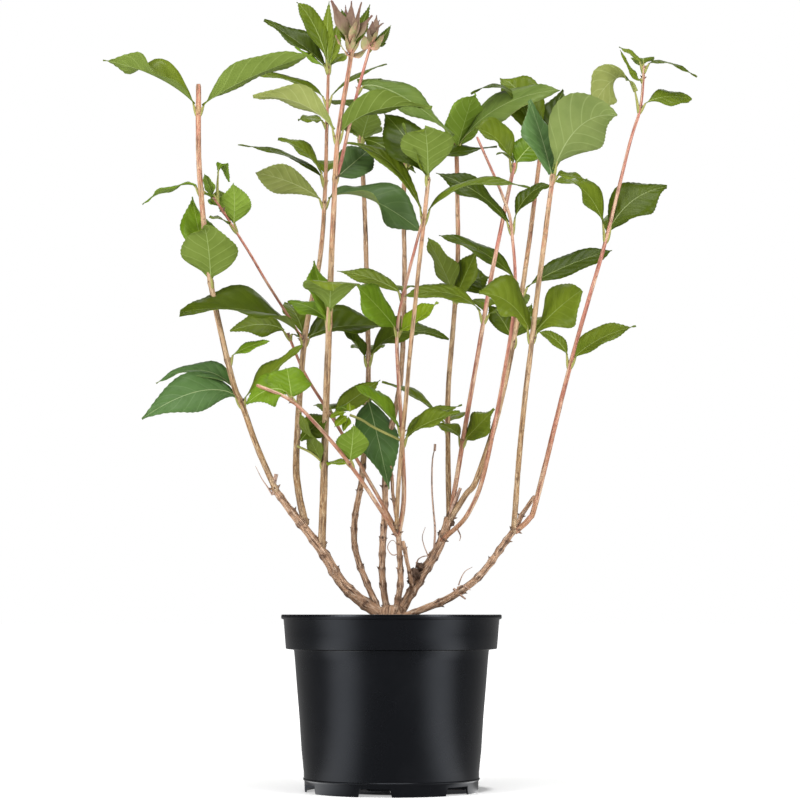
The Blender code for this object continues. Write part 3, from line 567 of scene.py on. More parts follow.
class Finish:
    """A new material: its shader, and ways to add the nodes that feed it."""

    def __init__(self, name):
        self.material = bpy.data.materials.new(name)
        self.material.use_nodes = True
        self.nodes = self.material.node_tree.nodes
        self.links = self.material.node_tree.links
        self.shader = self.nodes["Principled BSDF"]

    def feed(self, socket, value):
        """Give an input a number or a colour, or link it to another node's output."""
        if isinstance(value, (int, float)):
            socket.default_value = value
        elif isinstance(value, tuple):
            socket.default_value = (*value, 1.0)
        else:
            self.links.new(value, socket)

    def set(self, name, value):
        """Feed one of the shader's own inputs."""
        self.feed(self.shader.inputs[name], value)

    def place(self):
        """The place on the object, in metres."""
        return self.nodes.new("ShaderNodeTexCoord").outputs["Object"]

    def mapped(self, layer):
        """The place on one of the piece's own UV maps."""
        node = self.nodes.new("ShaderNodeUVMap")
        node.uv_map = layer
        return node.outputs[0]

    def kept(self, layer):
        """A number that the piece's mesh keeps at each point."""
        node = self.nodes.new("ShaderNodeAttribute")
        node.attribute_name = layer
        return node.outputs["Fac"]

    def parts(self, vector):
        """The three parts of a vector."""
        node = self.nodes.new("ShaderNodeSeparateXYZ")
        self.feed(node.inputs[0], vector)
        return node.outputs

    def maths(self, operation, first, second=0.0):
        """A sum worked out from outputs or numbers."""
        node = self.nodes.new("ShaderNodeMath")
        node.operation = operation
        self.feed(node.inputs[0], first)
        self.feed(node.inputs[1], second)
        return node.outputs[0]

    def plus(self, first, second):
        """Two values added."""
        return self.maths("ADD", first, second)

    def less(self, first, second):
        """The second value taken from the first."""
        return self.maths("SUBTRACT", first, second)

    def times(self, first, second):
        """Two values multiplied."""
        return self.maths("MULTIPLY", first, second)

    def blend(self, factor, first, second):
        """From the first colour at 0 to the second at 1; either may be an output."""
        node = self.nodes.new("ShaderNodeMix")
        node.data_type = "RGBA"
        self.feed(node.inputs[0], factor)
        self.feed(node.inputs[FIRST_COLOUR], first)
        self.feed(node.inputs[SECOND_COLOUR], second)
        return node.outputs[BLENDED_COLOUR]

    def noise(self, where, scale=1.0, detail=3.0, roughness=0.55, stretch=None):
        """Soft noise over the given places, which may be stretched first."""
        if stretch is not None:
            mapping = self.nodes.new("ShaderNodeMapping")
            mapping.inputs["Scale"].default_value = stretch
            self.feed(mapping.inputs["Vector"], where)
            where = mapping.outputs[0]
        texture = self.nodes.new("ShaderNodeTexNoise")
        texture.inputs["Scale"].default_value = scale
        texture.inputs["Detail"].default_value = detail
        texture.inputs["Roughness"].default_value = roughness
        self.feed(texture.inputs["Vector"], where)
        return texture.outputs["Fac"]

    def ramp(self, factor, low, high):
        """A factor stretched so that low becomes 0 and high becomes 1."""
        node = self.nodes.new("ShaderNodeMapRange")
        node.inputs["From Min"].default_value = low
        node.inputs["From Max"].default_value = high
        self.feed(node.inputs["Value"], factor)
        return node.outputs[0]

    def bump(self, height, strength, distance):
        """Relief that is too fine to model, in metres."""
        node = self.nodes.new("ShaderNodeBump")
        node.inputs["Strength"].default_value = strength
        node.inputs["Distance"].default_value = distance
        self.feed(node.inputs["Height"], height)
        self.set("Normal", node.outputs[0])


# side veins: pairs along a leaf, and how far they run on, as a share of its length, by the margin
VEIN_PAIRS = 7.0
VEIN_SWEEP = 0.24


def leaf_material(name, deep, fresh, vein, gloss, under=False):
    """A leaf face: two greens in soft patches, side veins that sweep to the margin."""
    finish = Finish(name)
    along, across, _ = finish.parts(finish.mapped("leaf"))
    from_rib = finish.maths("ABSOLUTE", finish.less(across, 0.5))
    swept = finish.less(along, finish.times(from_rib, 2 * VEIN_SWEEP))
    wave = finish.maths("COSINE", finish.times(swept, VEIN_PAIRS * 2 * math.pi))
    ridge = finish.ramp(wave, 0.93, 1.0)
    place = finish.place()
    patches = finish.ramp(finish.noise(place, scale=45.0, detail=4.0), 0.35, 0.65)
    mixed = finish.plus(finish.times(patches, 0.45), finish.times(finish.kept("luck"), 0.55))
    colour = finish.blend(mixed, deep, fresh)
    colour = finish.blend(finish.times(ridge, 0.4 if under else 0.2), colour, vein)
    finish.set("Base Color", colour)
    finish.set("Roughness", gloss)
    finish.set("Specular IOR Level", 0.10 if under else 0.15)
    grain = finish.noise(place, scale=900.0, detail=2.0)
    swell = finish.times(wave, 0.8 if under else -0.8)
    finish.bump(finish.plus(swell, finish.times(grain, 0.25)), strength=0.4, distance=0.0006)
    return finish.material


def rib_material(name, colour, pale):
    """A leaf's midrib or stalk."""
    finish = Finish(name)
    soft = finish.noise(finish.place(), scale=120.0)
    finish.set("Base Color", finish.blend(soft, colour, pale))
    finish.set("Roughness", 0.45)
    return finish.material


# tint: (upper deep, upper fresh, vein, under deep, under fresh, rib), from middling, light and
# dark green to bluish, silvery, dull blue-green and yellow-green
TINTS = {
    "m": ((0.085, 0.125, 0.006), (0.150, 0.200, 0.014), (0.230, 0.290, 0.050),
          (0.100, 0.146, 0.018), (0.155, 0.214, 0.038), (0.270, 0.345, 0.100)),
    "l": ((0.095, 0.170, 0.006), (0.155, 0.255, 0.014), (0.260, 0.350, 0.055),
          (0.125, 0.200, 0.018), (0.195, 0.290, 0.038), (0.320, 0.410, 0.105)),
    # dark green: partly the colour of old leaves, partly painted shade for leaves that lie in
    # shade
    "d": ((0.036, 0.060, 0.002), (0.074, 0.108, 0.004), (0.110, 0.150, 0.012),
          (0.080, 0.115, 0.010), (0.130, 0.170, 0.024), (0.240, 0.300, 0.070)),
    "b": ((0.060, 0.125, 0.030), (0.110, 0.200, 0.065), (0.230, 0.330, 0.150),
          (0.170, 0.230, 0.070), (0.250, 0.310, 0.110), (0.340, 0.410, 0.170)),
    "s": ((0.080, 0.135, 0.020), (0.145, 0.205, 0.042), (0.240, 0.310, 0.100),
          (0.200, 0.235, 0.055), (0.300, 0.330, 0.105), (0.380, 0.430, 0.180)),
    "n": ((0.048, 0.090, 0.022), (0.085, 0.145, 0.045), (0.170, 0.240, 0.090),
          (0.130, 0.180, 0.045), (0.200, 0.250, 0.075), (0.290, 0.350, 0.130)),
    "y": ((0.170, 0.260, 0.006), (0.250, 0.350, 0.015), (0.370, 0.450, 0.070),
          (0.240, 0.330, 0.035), (0.310, 0.400, 0.060), (0.400, 0.480, 0.120)),
}
LEAF_SHADES = {tint: index for index, tint in enumerate(TINTS)}


def leaf_materials():
    """The materials of a leaf piece: uppers, ribs, unders and rib backs, each in tint order."""
    uppers = []
    ribs = []
    unders = []
    rib_backs = []
    for tint, (deep, fresh, vein, under_deep, under_fresh, rib) in TINTS.items():
        uppers.append(leaf_material("leaf_upper_" + tint, deep, fresh, vein, gloss=0.42))
        ribs.append(rib_material("leaf_rib_" + tint, vein, rib))
        unders.append(leaf_material(
            "leaf_under_" + tint, under_deep, under_fresh, rib, gloss=0.6, under=True))
        rib_backs.append(rib_material("leaf_rib_back_" + tint, under_fresh, rib))
    return uppers + ribs + unders + rib_backs


# bud shade: (material, colours of the foot, the middle, the tip and the streaks)
BUD_TINTS = {
    "p": ("bud_purple", (0.190, 0.200, 0.060), (0.215, 0.140, 0.090),
          (0.160, 0.070, 0.050), (0.150, 0.075, 0.050)),
    "h": ("bud_blush", (0.560, 0.300, 0.210), (0.330, 0.310, 0.130),
          (0.230, 0.120, 0.085), (0.520, 0.240, 0.180)),
}
BUD_SHADES = {tint: index for index, tint in enumerate(BUD_TINTS)}


def bud_material(tint):
    """A bud scale: one colour at its foot, others towards its tip, with fine streaks."""
    name, foot, middle, tip, streak_colour = BUD_TINTS[tint]
    finish = Finish(name)
    place = finish.place()
    soft = finish.noise(place, scale=90.0)
    along = finish.plus(finish.parts(finish.mapped("leaf"))[0],
                        finish.times(finish.less(soft, 0.5), 0.7))
    streak = finish.noise(place, scale=420.0, detail=2.0, stretch=(1.0, 1.0, 0.12))
    colour = finish.blend(finish.ramp(along, 0.12, 0.5), foot, middle)
    colour = finish.blend(finish.ramp(along, 0.62, 1.0), colour, tip)
    colour = finish.blend(finish.ramp(streak, 0.5, 0.8), colour, streak_colour)
    finish.set("Base Color", colour)
    finish.set("Roughness", 0.55)
    finish.bump(streak, strength=0.4, distance=0.0004)
    return finish.material


# bark: (colours when young, in between and old, of cracks and of flakes, how much it flakes,
# and how much of it is worn to bare pale runs)
BARKS = {
    "flaking_bark": (
        (0.45, 0.265, 0.150), (0.41, 0.240, 0.135), (0.40, 0.235, 0.140),
        (0.050, 0.020, 0.010), (0.70, 0.53, 0.39), 0.9, 0.0),
    "striped_bark": (
        (0.50, 0.21, 0.14), (0.42, 0.25, 0.125), (0.33, 0.195, 0.090),
        (0.095, 0.042, 0.018), (0.64, 0.50, 0.31), 0.75, 0.35),
    "young_red_bark": (
        (0.50, 0.18, 0.140), (0.47, 0.195, 0.130), (0.36, 0.195, 0.100),
        (0.20, 0.048, 0.034), (0.67, 0.42, 0.30), 0.6, 0.7),
    "dry_dead_wood": (
        (0.50, 0.33, 0.25), (0.24, 0.145, 0.09), (0.11, 0.065, 0.042),
        (0.035, 0.022, 0.016), (0.40, 0.30, 0.22), 0.5, 0.0),
    "green_stalk": (
        (0.31, 0.32, 0.085), (0.36, 0.34, 0.10), (0.42, 0.30, 0.15),
        (0.24, 0.23, 0.06), (0.46, 0.43, 0.18), 0.3, 0.0),
    "bark_chips": (
        (0.10, 0.06, 0.035), (0.07, 0.045, 0.03), (0.05, 0.032, 0.022),
        (0.02, 0.014, 0.01), (0.16, 0.11, 0.08), 0.4, 0.0),
}
PALE_BARK = (0.70, 0.53, 0.36)


def bark_material(name):
    """Bark that ages down a limb: young at age 0, old at age 1, streaked along its length."""
    young, middle, old, crack, flake, mottle, pale = BARKS[name]
    finish = Finish(name)
    place = finish.place()
    wrap = finish.mapped("bark")
    streaks = finish.noise(wrap, detail=5.0, roughness=0.65, stretch=(0.34, 0.030, 1.0))
    fine = finish.noise(wrap, detail=3.0, roughness=0.6, stretch=(0.9, 0.13, 1.0))
    runs = finish.noise(wrap, detail=2.0, roughness=0.5, stretch=(0.11, 0.016, 1.0))
    blotch = finish.noise(place, scale=85.0, detail=4.0, roughness=0.65)
    flecks = finish.noise(place, scale=210.0, detail=4.0, roughness=0.65)
    age = finish.plus(finish.kept("age"), finish.times(finish.less(blotch, 0.5), 1.1))
    colour = finish.blend(finish.ramp(age, 0.05, 0.5), young, middle)
    colour = finish.blend(finish.ramp(age, 0.5, 0.9), colour, old)
    colour = finish.blend(finish.times(finish.ramp(age, 0.95, 1.45), 0.8), colour, crack)
    colour = finish.blend(finish.times(finish.ramp(fine, 0.5, 0.66), mottle), colour, flake)
    colour = finish.blend(finish.times(finish.ramp(runs, 0.46, 0.60), pale), colour, PALE_BARK)
    lines = finish.times(finish.ramp(streaks, 0.5, 0.62), 0.85)
    spots = finish.times(finish.ramp(flecks, 0.56, 0.68), 0.7)
    dark = finish.maths("MAXIMUM", lines, spots)
    finish.set("Base Color", finish.blend(dark, colour, crack))
    finish.set("Roughness", 0.62)
    finish.set("Specular IOR Level", 0.3)
    finish.bump(finish.less(finish.times(fine, 0.6), dark), strength=0.6, distance=0.0007)
    return finish.material


def pot_material():
    """Satin black moulded plastic with faint flow marks and dust."""
    finish = Finish("moulded_black_plastic")
    place = finish.place()
    dust = finish.ramp(finish.noise(place, scale=14.0, detail=6.0, roughness=0.7), 0.5, 0.8)
    finish.set("Base Color",
               finish.blend(dust, (0.0020, 0.0022, 0.0032), (0.0050, 0.0052, 0.0064)))
    haze = finish.noise(place, scale=30.0, detail=4.0)
    finish.set("Roughness", finish.plus(0.24, finish.times(haze, 0.08)))
    finish.set("Specular IOR Level", 0.30)
    finish.set("Specular Tint", (0.84, 0.90, 1.0))
    finish.bump(finish.noise(place, scale=1400.0, detail=2.0), strength=0.05, distance=0.00005)
    return finish.material


def soil_material():
    """Dark, moist potting mix."""
    finish = Finish("potting_mix")
    crumbs = finish.noise(finish.place(), scale=260.0, detail=6.0, roughness=0.7)
    crumbs = finish.ramp(crumbs, 0.35, 0.7)
    finish.set("Base Color", finish.blend(crumbs, (0.012, 0.008, 0.006), (0.085, 0.052, 0.032)))
    finish.set("Roughness", 0.9)
    finish.bump(crumbs, strength=0.8, distance=0.002)
    return finish.material


# ------------------------------------------------------------ making pieces

def new_object(name, bm):
    """An object made from a bmesh, which is used up."""
    mesh = bpy.data.meshes.new(name)
    bm.to_mesh(mesh)
    bm.free()
    made = bpy.data.objects.new(name, mesh)
    bpy.context.scene.collection.objects.link(made)
    return made


def finish_piece(name, bm, materials, stands_for, smooth=True):
    """Turn a bmesh in millimetres round the pot's axis into a piece of the shrub."""
    bmesh.ops.scale(bm, vec=(MM, MM, MM), verts=bm.verts)
    bmesh.ops.translate(bm, vec=AXIS, verts=bm.verts)
    piece = new_object(name, bm)
    for mat in materials:
        piece.data.materials.append(mat)
    piece.data.polygons.foreach_set("use_smooth", [smooth] * len(piece.data.polygons))
    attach(piece, "root")
    if stands_for:
        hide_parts(*stands_for)
    return piece


# --------------------------------------------------------------------- bark

ROD_STEP = 2.6
ROD_SIDES = 14
SEAM_GAP = 0.0005
# a joint: its swelling as a share of the radius, its half length and how much older it looks
JOINT_SWELL = 0.24
JOINT_HALF = 2.6
JOINT_AGE = 0.5
# how far a limb sways from its smooth curve, and what is left of its radius at the very tip
SWAY = 0.9
TIP_TAPER = 0.75
# bark: its relief as a share of the radius
BARK_RELIEF = {"wood": 0.14, "tan": 0.06, "young": 0.04}
# bark: the plan heights where it is newest and oldest
AGE_LIMITS = {"wood": (900.0, 100.0), "tan": (720.0, 250.0), "young": (640.0, 200.0)}
# bark: (piece, slot, material)
LIMB_PIECES = {
    "wood": ("woody_boughs", "bark", "flaking_bark"),
    "tan": ("tan_canes", "tan_bark", "striped_bark"),
    "young": ("young_canes", "young_bark", "young_red_bark"),
}


def bark_mesh():
    """An empty bmesh with the map and the age value that bark materials read."""
    bm = bmesh.new()
    bm.loops.layers.uv.new("bark")
    bm.verts.layers.float.new("age")
    return bm


def rod_frames(line):
    """For each point of a line, two directions square to it that turn as little as they can."""
    last = len(line) - 1
    frames = []
    away = None
    for step in range(last + 1):
        heading = (line[min(step + 1, last)] - line[max(step - 1, 0)]).normalized()
        if away is None:
            away = heading.orthogonal()
        away = (away - heading * away.dot(heading)).normalized()
        frames.append((away.copy(), heading.cross(away)))
    return frames


def bark_swell(angle, run, luck):
    """How far the bark stands out at an angle round a rod and a run along it."""
    round_place = Vector((math.cos(angle) * 1.5, math.sin(angle) * 1.5, 0.0))
    ridge = noise.noise(round_place * 1.4 + UP * (run * 0.035 + luck))
    flake = noise.noise(round_place * 2.6 + UP * (run * 0.15 - luck))
    return 1.4 * ridge + flake


def round_rod(bm, line, radii, sides, ages, relief=0.0, luck=0.0):
    """A closed round rod along a line of points, with lengthwise bark relief."""
    uv_layer = bm.loops.layers.uv["bark"]
    age_layer = bm.verts.layers.float["age"]
    steps = len(line) - 1
    made = bmesh.ops.create_grid(bm, x_segments=sides, y_segments=steps, size=0.5)["verts"]
    frames = rod_frames(line)
    run = [0.0]
    for low, high in zip(line, line[1:]):
        run.append(run[-1] + (high - low).length)
    spots = {}
    for vert in made:
        turn = round((vert.co.x + 0.5) * sides)
        step = round((vert.co.y + 0.5) * steps)
        spots[vert] = (turn, step)
        angle = 2 * math.pi * (turn % sides) / sides
        away, over = frames[step]
        radius = radii[step]
        if relief:
            radius *= 1.0 + relief * bark_swell(angle, run[step], luck)
        vert.co = line[step] + (away * math.cos(angle) + over * math.sin(angle)) * radius
        vert[age_layer] = ages[step]
    girth = 2 * math.pi * radii[0] / sides
    for face in {face for vert in made for face in vert.link_faces}:
        for loop in face.loops:
            turn, step = spots[loop.vert]
            loop[uv_layer].uv = (turn * girth, run[step])
    seam = [vert for vert in made if spots[vert][0] in (0, sides)]
    rims = [[], []]
    for vert in made:
        turn, step = spots[vert]
        if turn < sides and step in (0, steps):
            rims[step // steps].append((turn, vert))
    bmesh.ops.remove_doubles(bm, verts=seam, dist=SEAM_GAP)
    for rim in rims:
        ring = [vert for turn, vert in sorted(rim, key=lambda pair: pair[0]) if vert.is_valid]
        if len(ring) > 2:
            bmesh.ops.contextual_create(bm, geom=ring)


def bark_age(limb, up):
    """How old the bark is at a height: 0 for the newest, 1 for the oldest."""
    newest, oldest = AGE_LIMITS[limb.bark]
    return min(1.0, max(0.0, (newest - up) / (newest - oldest)))


def limb_rod(bm, limb, rng):
    """A limb with its true taper, its swollen leaf joints and its bark relief."""
    steps = max(6, round(limb.length / ROD_STEP))
    luck = rng.uniform(0.0, 50.0)
    line = []
    radii = []
    ages = []
    for step in range(steps + 1):
        share = step / steps
        here = limb.at(share)
        sway = Vector((noise.noise(Vector((share * 5.0, luck, 0.0))),
                       noise.noise(Vector((share * 5.0, luck, 9.0))), 0.0))
        line.append(here + sway * SWAY * math.sin(math.pi * share))
        radius = limb.radius(share)
        worn = 0.0
        for node in limb.nodes + limb.scars:
            reach = (share - node) * limb.length / JOINT_HALF
            near = math.exp(-reach * reach)
            radius *= 1.0 + JOINT_SWELL * near
            worn = max(worn, near)
        radii.append(radius)
        ages.append(bark_age(limb, here.z) + JOINT_AGE * worn)
    radii[-1] *= TIP_TAPER
    round_rod(bm, line, radii, ROD_SIDES, ages, BARK_RELIEF[limb.bark], luck)


# the stool: its foot, the step between its rings and their radii
CROWN_FOOT = 160.0
CROWN_STEP = 2.0
CROWN_RADII = (22.0, 21.0, 20.0, 18.4, 16.6, 15.0, 13.8, 12.8, 12.0, 11.4, 10.6, 9.0, 5.0)
CROWN_SIDES = 26
CROWN_RELIEF = 0.30


def crown_lump(bm, rng):
    """The gnarled stool that the boughs spring from."""
    steps = range(len(CROWN_RADII))
    line = [Vector((0.0, 0.0, CROWN_FOOT + step * CROWN_STEP)) for step in steps]
    round_rod(bm, line, CROWN_RADII, CROWN_SIDES, [1.0 for _ in steps], CROWN_RELIEF,
              rng.uniform(0.0, 9.0))


def build_limbs(limbs, rng):
    """The boughs and canes, joined by their bark."""
    for bark, (piece_name, slot, material) in LIMB_PIECES.items():
        bm = bark_mesh()
        members = [limb for limb in limbs.values() if limb.bark == bark]
        for limb in members:
            limb_rod(bm, limb, rng)
        stands_for = [limb.name for limb in members]
        if bark == "wood":
            crown_lump(bm, rng)
            stands_for.append("root_crown")
        finish_piece(piece_name, bm, [bark_material(material)], stands_for)


# ---------------------------------------------------------------- dead wood

# old joints on wood: the first, the usual step, the last before the tip and the highest;
# and the one near the foot of a cane
SCARS_FROM = 8.0
SCAR_STEP = 19.0
SCARS_SHORT_OF_TIP = 6.0
SCARRED_UP_TO = 330.0
CANE_SCAR = 3.0
SCALE_STEPS = 3
SCALE_SIDES = 6
SCALE_RELIEF = 0.2
TWIG_STEPS = 14
TWIG_SIDES = 7
TWIG_RELIEF = 0.25


def scar_limb(limb, rng):
    """Old leaf joints: every few centimetres on wood, and near the foot of a cane."""
    if limb.bark != "wood":
        limb.scars.append(CANE_SCAR / limb.length)
        return
    spot = SCARS_FROM
    last = limb.length - SCARS_SHORT_OF_TIP
    while spot < last and limb.at(spot / limb.length).z < SCARRED_UP_TO:
        limb.scars.append(spot / limb.length)
        spot += rng.uniform(0.6, 1.4) * SCAR_STEP


def add_scale(bm, limb, share, turn, size, rng):
    """One small dry scale or stub that points up and out from a limb."""
    heading = limb.heading(share)
    away = heading.orthogonal().normalized()
    ray = Matrix.Rotation(turn, 3, heading) @ away
    start = limb.at(share) + ray * limb.radius(share) * 0.7
    lean = rng.uniform(0.5, 1.1)
    end = start + (ray + heading * lean).normalized() * size
    line = [start.lerp(end, step / SCALE_STEPS) for step in range(SCALE_STEPS + 1)]
    thick = size * 0.26
    round_rod(bm, line, [thick, thick * 0.9, thick * 0.6, thick * 0.1], SCALE_SIDES,
              [rng.uniform(0.3, 1.0)] * len(line), SCALE_RELIEF, rng.uniform(0.0, 20.0))


def dry_scales(bm, limb, rng):
    """Dry scales round a limb's old and present joints, each joint turned from the last."""
    wood = limb.bark == "wood"
    first = rng.uniform(0.0, math.pi)
    for index, share in enumerate(limb.scars):
        count = rng.choice((1, 2, 2, 3)) if wood else 5
        for scale in range(count):
            turn = first + index * math.pi / 2 + scale * 2 * math.pi / count
            size = rng.uniform(2.4, 5.2) if wood else rng.uniform(3.5, 6.0)
            add_scale(bm, limb, share, turn, size, rng)
    for index, share in enumerate(limb.nodes):
        for scale in range(2):
            turn = first + index * math.pi / 2 + scale * math.pi
            add_scale(bm, limb, share, turn, rng.uniform(3.0, 4.5), rng)


def dead_knob(bm, place, size):
    """A black lump of dead wood."""
    lump = bmesh.ops.create_icosphere(bm, subdivisions=3, radius=size)["verts"]
    for vert in lump:
        bump = noise.noise(vert.co * 0.55 + Vector(place)) + 0.6 * noise.noise(vert.co * 1.3)
        vert.co = vert.co * (1.0 + 0.75 * bump)
        vert[bm.verts.layers.float["age"]] = 1.0
    bmesh.ops.translate(bm, verts=lump, vec=sighted(place))


def build_dead_wood(limbs, rng):
    """Dry scales at the joints, dead wisps, cut stubs and the black knob of old wood."""
    bm = bark_mesh()
    for limb in limbs.values():
        dry_scales(bm, limb, rng)
    for foot, tip, places in DEAD_TWIGS:
        line = [sighted(place) for place in curve_through(places, TWIG_STEPS)]
        radii = [foot + (tip - foot) * step / TWIG_STEPS for step in range(TWIG_STEPS + 1)]
        round_rod(bm, line, radii, TWIG_SIDES, [0.0] * len(line), TWIG_RELIEF,
                  rng.uniform(0.0, 20.0))
    for place, size in DEAD_KNOBS:
        dead_knob(bm, place, size)
    finish_piece("dead_twigs", bm, [bark_material("dry_dead_wood")], [])


# ------------------------------------------------------------------- leaves

# a blade is a grid: columns along it, and lines from one margin to the other, with two close
# together that hold the rib between them
LEAF_COLUMNS = 34
LEAF_LINES = (-1.0, -0.68, -0.34, -0.001, 0.001, 0.34, 0.68, 1.0)
RIB_HALF = 0.55
LEAF_THICK = 0.35
SCALE_THICK = 0.5
LEAF_STALK = 4.5
TEETH = 0.6
# where a blade is usually widest, how fast it widens, and the shares its ends are cut to
WIDEST = 0.43
BASE_POWER = 1.12
BLADE_ENDS = (0.02, 0.995)
# a leaf that goes less than this share of its length across the ground is taken to face out
STEEP_SHARE = 0.3
# shares of the length where the tip starts to curl and where the twist is done
CURLS_FROM = 0.7
TWISTED_BY = 0.75
# waves along the margin, the hollow to either side of the rib, and the swelling between veins
MARGIN_WAVES = 1.9
HOLLOW = 0.16
QUILTING = 0.8


def leaf_mesh():
    """An empty bmesh with the map and the chance value that leaf materials read."""
    bm = bmesh.new()
    bm.loops.layers.uv.new("leaf")
    bm.verts.layers.float.new("luck")
    return bm


def upper_side(chord, side):
    """The direction a blade's upper face looks to."""
    upper = chord.cross(side).normalized()
    return -upper if upper.z < 0.0 else upper


def blade_width(share, widest):
    """A blade's half width at a share of its length, as a share of the widest."""
    base_power = BASE_POWER * widest / WIDEST
    tip_power = base_power * (1.0 - widest) / widest
    return (share / widest) ** base_power * ((1.0 - share) / (1.0 - widest)) ** tip_power


def eased_step(share):
    """0 before 0, 1 after 1 and a smooth rise between them."""
    share = min(1.0, max(0.0, share))
    return share * share * (3.0 - 2.0 * share)


class Blade:
    """The shape of a leaf or a bract: an arched rib, and a folded, twisted, toothed face."""

    def __init__(self, foot, leaf, rng, bract):
        self.foot = foot
        self.leaf = leaf
        self.bract = bract
        self.half = 0.5 * leaf.width
        self.widest = leaf.widest or WIDEST + rng.uniform(-0.03, 0.04)
        self.chord = sighted((leaf.across, foot.y + leaf.out, leaf.up)) - foot
        length = self.chord.length
        flat = Vector((self.chord.x, self.chord.y, 0.0))
        if flat.length < STEEP_SHARE * length:
            flat = Vector((0.0, math.copysign(1.0, leaf.out), 0.0))
        self.side = flat.normalized().cross(UP)
        if self.side.y > 0.0 or (self.side.y == 0.0 and self.side.x < 0.0):
            self.side.negate()
        self.upper = upper_side(self.chord, self.side)
        self.stalk = 0.0 if bract else LEAF_STALK / length
        self.luck = rng.random()
        self.wave = rng.uniform(0.07, 0.14) * self.half
        self.phase = rng.uniform(0.0, 2 * math.pi)
        self.bend = rng.uniform(-0.025, 0.025) * length

    def rib_at(self, share):
        """The rib at a share of the way from the foot to the tip."""
        eased = max(0.0, share) ** 0.75
        droop = self.leaf.curl * (max(0.0, share - CURLS_FROM) / (1.0 - CURLS_FROM)) ** 2
        rise = self.leaf.arch * 4.0 * eased * (1.0 - eased) - droop
        aside = self.bend * math.sin(math.pi * share)
        return self.foot + self.chord * share + UP * rise + self.side * aside

    def section_at(self, share):
        """At a share of the blade: the rib, and the ways to the tip, to the side and up."""
        place = self.stalk + (1.0 - self.stalk) * share
        ahead = self.rib_at(min(1.0, place + BLADE_LOOK))
        heading = (ahead - self.rib_at(max(0.0, place - BLADE_LOOK))).normalized()
        turned = eased_step((share - self.leaf.twists_from) / (TWISTED_BY - self.leaf.twists_from))
        angle = math.radians(self.leaf.roll + self.leaf.twist * turned)
        over = self.side * math.cos(angle) - self.upper * math.sin(angle)
        over = (over - heading * over.dot(heading)).normalized()
        upper = upper_side(heading, over)
        if upper.dot(self.upper) < 0.0:
            upper.negate()
        return self.rib_at(place), heading, over, upper

    def half_width(self, share):
        """From the rib to the margin at a share of the blade."""
        low, high = BLADE_ENDS
        breadth = self.half * blade_width(min(high, max(low, share)), self.widest)
        if self.bract:
            breadth = max(breadth, 0.4 * self.half * (1.0 - share))
        return breadth

    def point_at(self, share, aside, toothed):
        """A point of the blade: aside runs from -1 at one margin to 1 at the other."""
        rib, heading, over, upper = self.section_at(share)
        breadth = self.half_width(share)
        spread = abs(aside)
        sign = 1.0 if aside > 0.0 else -1.0
        rib_reach = RIB_HALF * (1.0 - 0.8 * share) * (0.4 if self.bract else 1.0)
        reach = max(rib_reach, spread * breadth)
        slope = math.radians(self.leaf.fold) * (1.15 - 0.45 * share)
        ripple = math.sin(2 * math.pi * MARGIN_WAVES * share + self.phase + 1.3 * sign)
        quilt = math.cos(2 * math.pi * VEIN_PAIRS * (share - VEIN_SWEEP * spread))
        rise = reach * math.sin(slope) - HOLLOW * breadth * spread * spread
        rise += self.wave * spread * spread * ripple
        rise += QUILTING * spread * (1.2 - spread) * quilt
        flat_reach = reach * math.cos(slope)
        if toothed:
            flat_reach += TEETH
            rib = rib + heading * TEETH * 0.6
        return rib + over * (sign * flat_reach) + upper * rise


def grow_leaf(bm, foot, leaf, rng, bract=False):
    """Add a leaf or a bract that springs from its foot on a limb; gives its stalk's end."""
    uv_layer = bm.loops.layers.uv["leaf"]
    luck_layer = bm.verts.layers.float["luck"]
    blade = Blade(foot, leaf, rng, bract)
    rows = len(LEAF_LINES) - 1
    made = bmesh.ops.create_grid(bm, x_segments=LEAF_COLUMNS, y_segments=rows, size=0.5)["verts"]
    spots = {}
    for vert in made:
        column = round((vert.co.x + 0.5) * LEAF_COLUMNS)
        row = round((vert.co.y + 0.5) * rows)
        spots[vert] = (column, row)
        toothed = row in (0, rows) and column % 2 and 2 < column < LEAF_COLUMNS - 1
        vert.co = blade.point_at(column / LEAF_COLUMNS, LEAF_LINES[row], toothed and not bract)
        vert[luck_layer] = blade.luck
    shade = BUD_SHADES[leaf.tint] if bract else LEAF_SHADES[leaf.tint]
    rib_shade = shade if bract else shade + len(TINTS)
    for face in {face for vert in made for face in vert.link_faces}:
        on_rib = {spots[loop.vert][1] for loop in face.loops} == {rows // 2, rows // 2 + 1}
        face.material_index = rib_shade if on_rib else shade
        for loop in face.loops:
            column, row = spots[loop.vert]
            loop[uv_layer].uv = (column / LEAF_COLUMNS, 0.5 + 0.5 * LEAF_LINES[row])
    face_up(bm, made, blade.upper)
    return blade.rib_at(blade.stalk * 1.4)


def face_up(bm, verts, upper):
    """Turn a leaf's faces so that they look to its upper side."""
    faces = list({face for vert in verts for face in vert.link_faces})
    bm.normal_update()
    total = Vector((0.0, 0.0, 0.0))
    for face in faces:
        total += face.normal * face.calc_area()
    if total.dot(upper) < 0.0:
        bmesh.ops.reverse_faces(bm, faces=faces)


def thin_sheet(piece, thickness, back_shift=0):
    """Give a one-sided piece its thickness, with its back in materials further on."""
    shell = piece.modifiers.new("thickness", "SOLIDIFY")
    shell.thickness = thickness * MM
    shell.offset = -1.0
    shell.material_offset = back_shift
    shell.material_offset_rim = back_shift


# how far down the cane a leaf's stalk starts, its bark's age and its radii to the leaf
STALK_RUN = 6.5
STALK_AGE = 0.2
STALK_RADII = (0.9, 1.3, 1.5, 1.55, 1.5, 1.35, 1.15, 0.9, 0.6)
STALK_SIDES = 8
SIDE_STALK_STEPS = 12


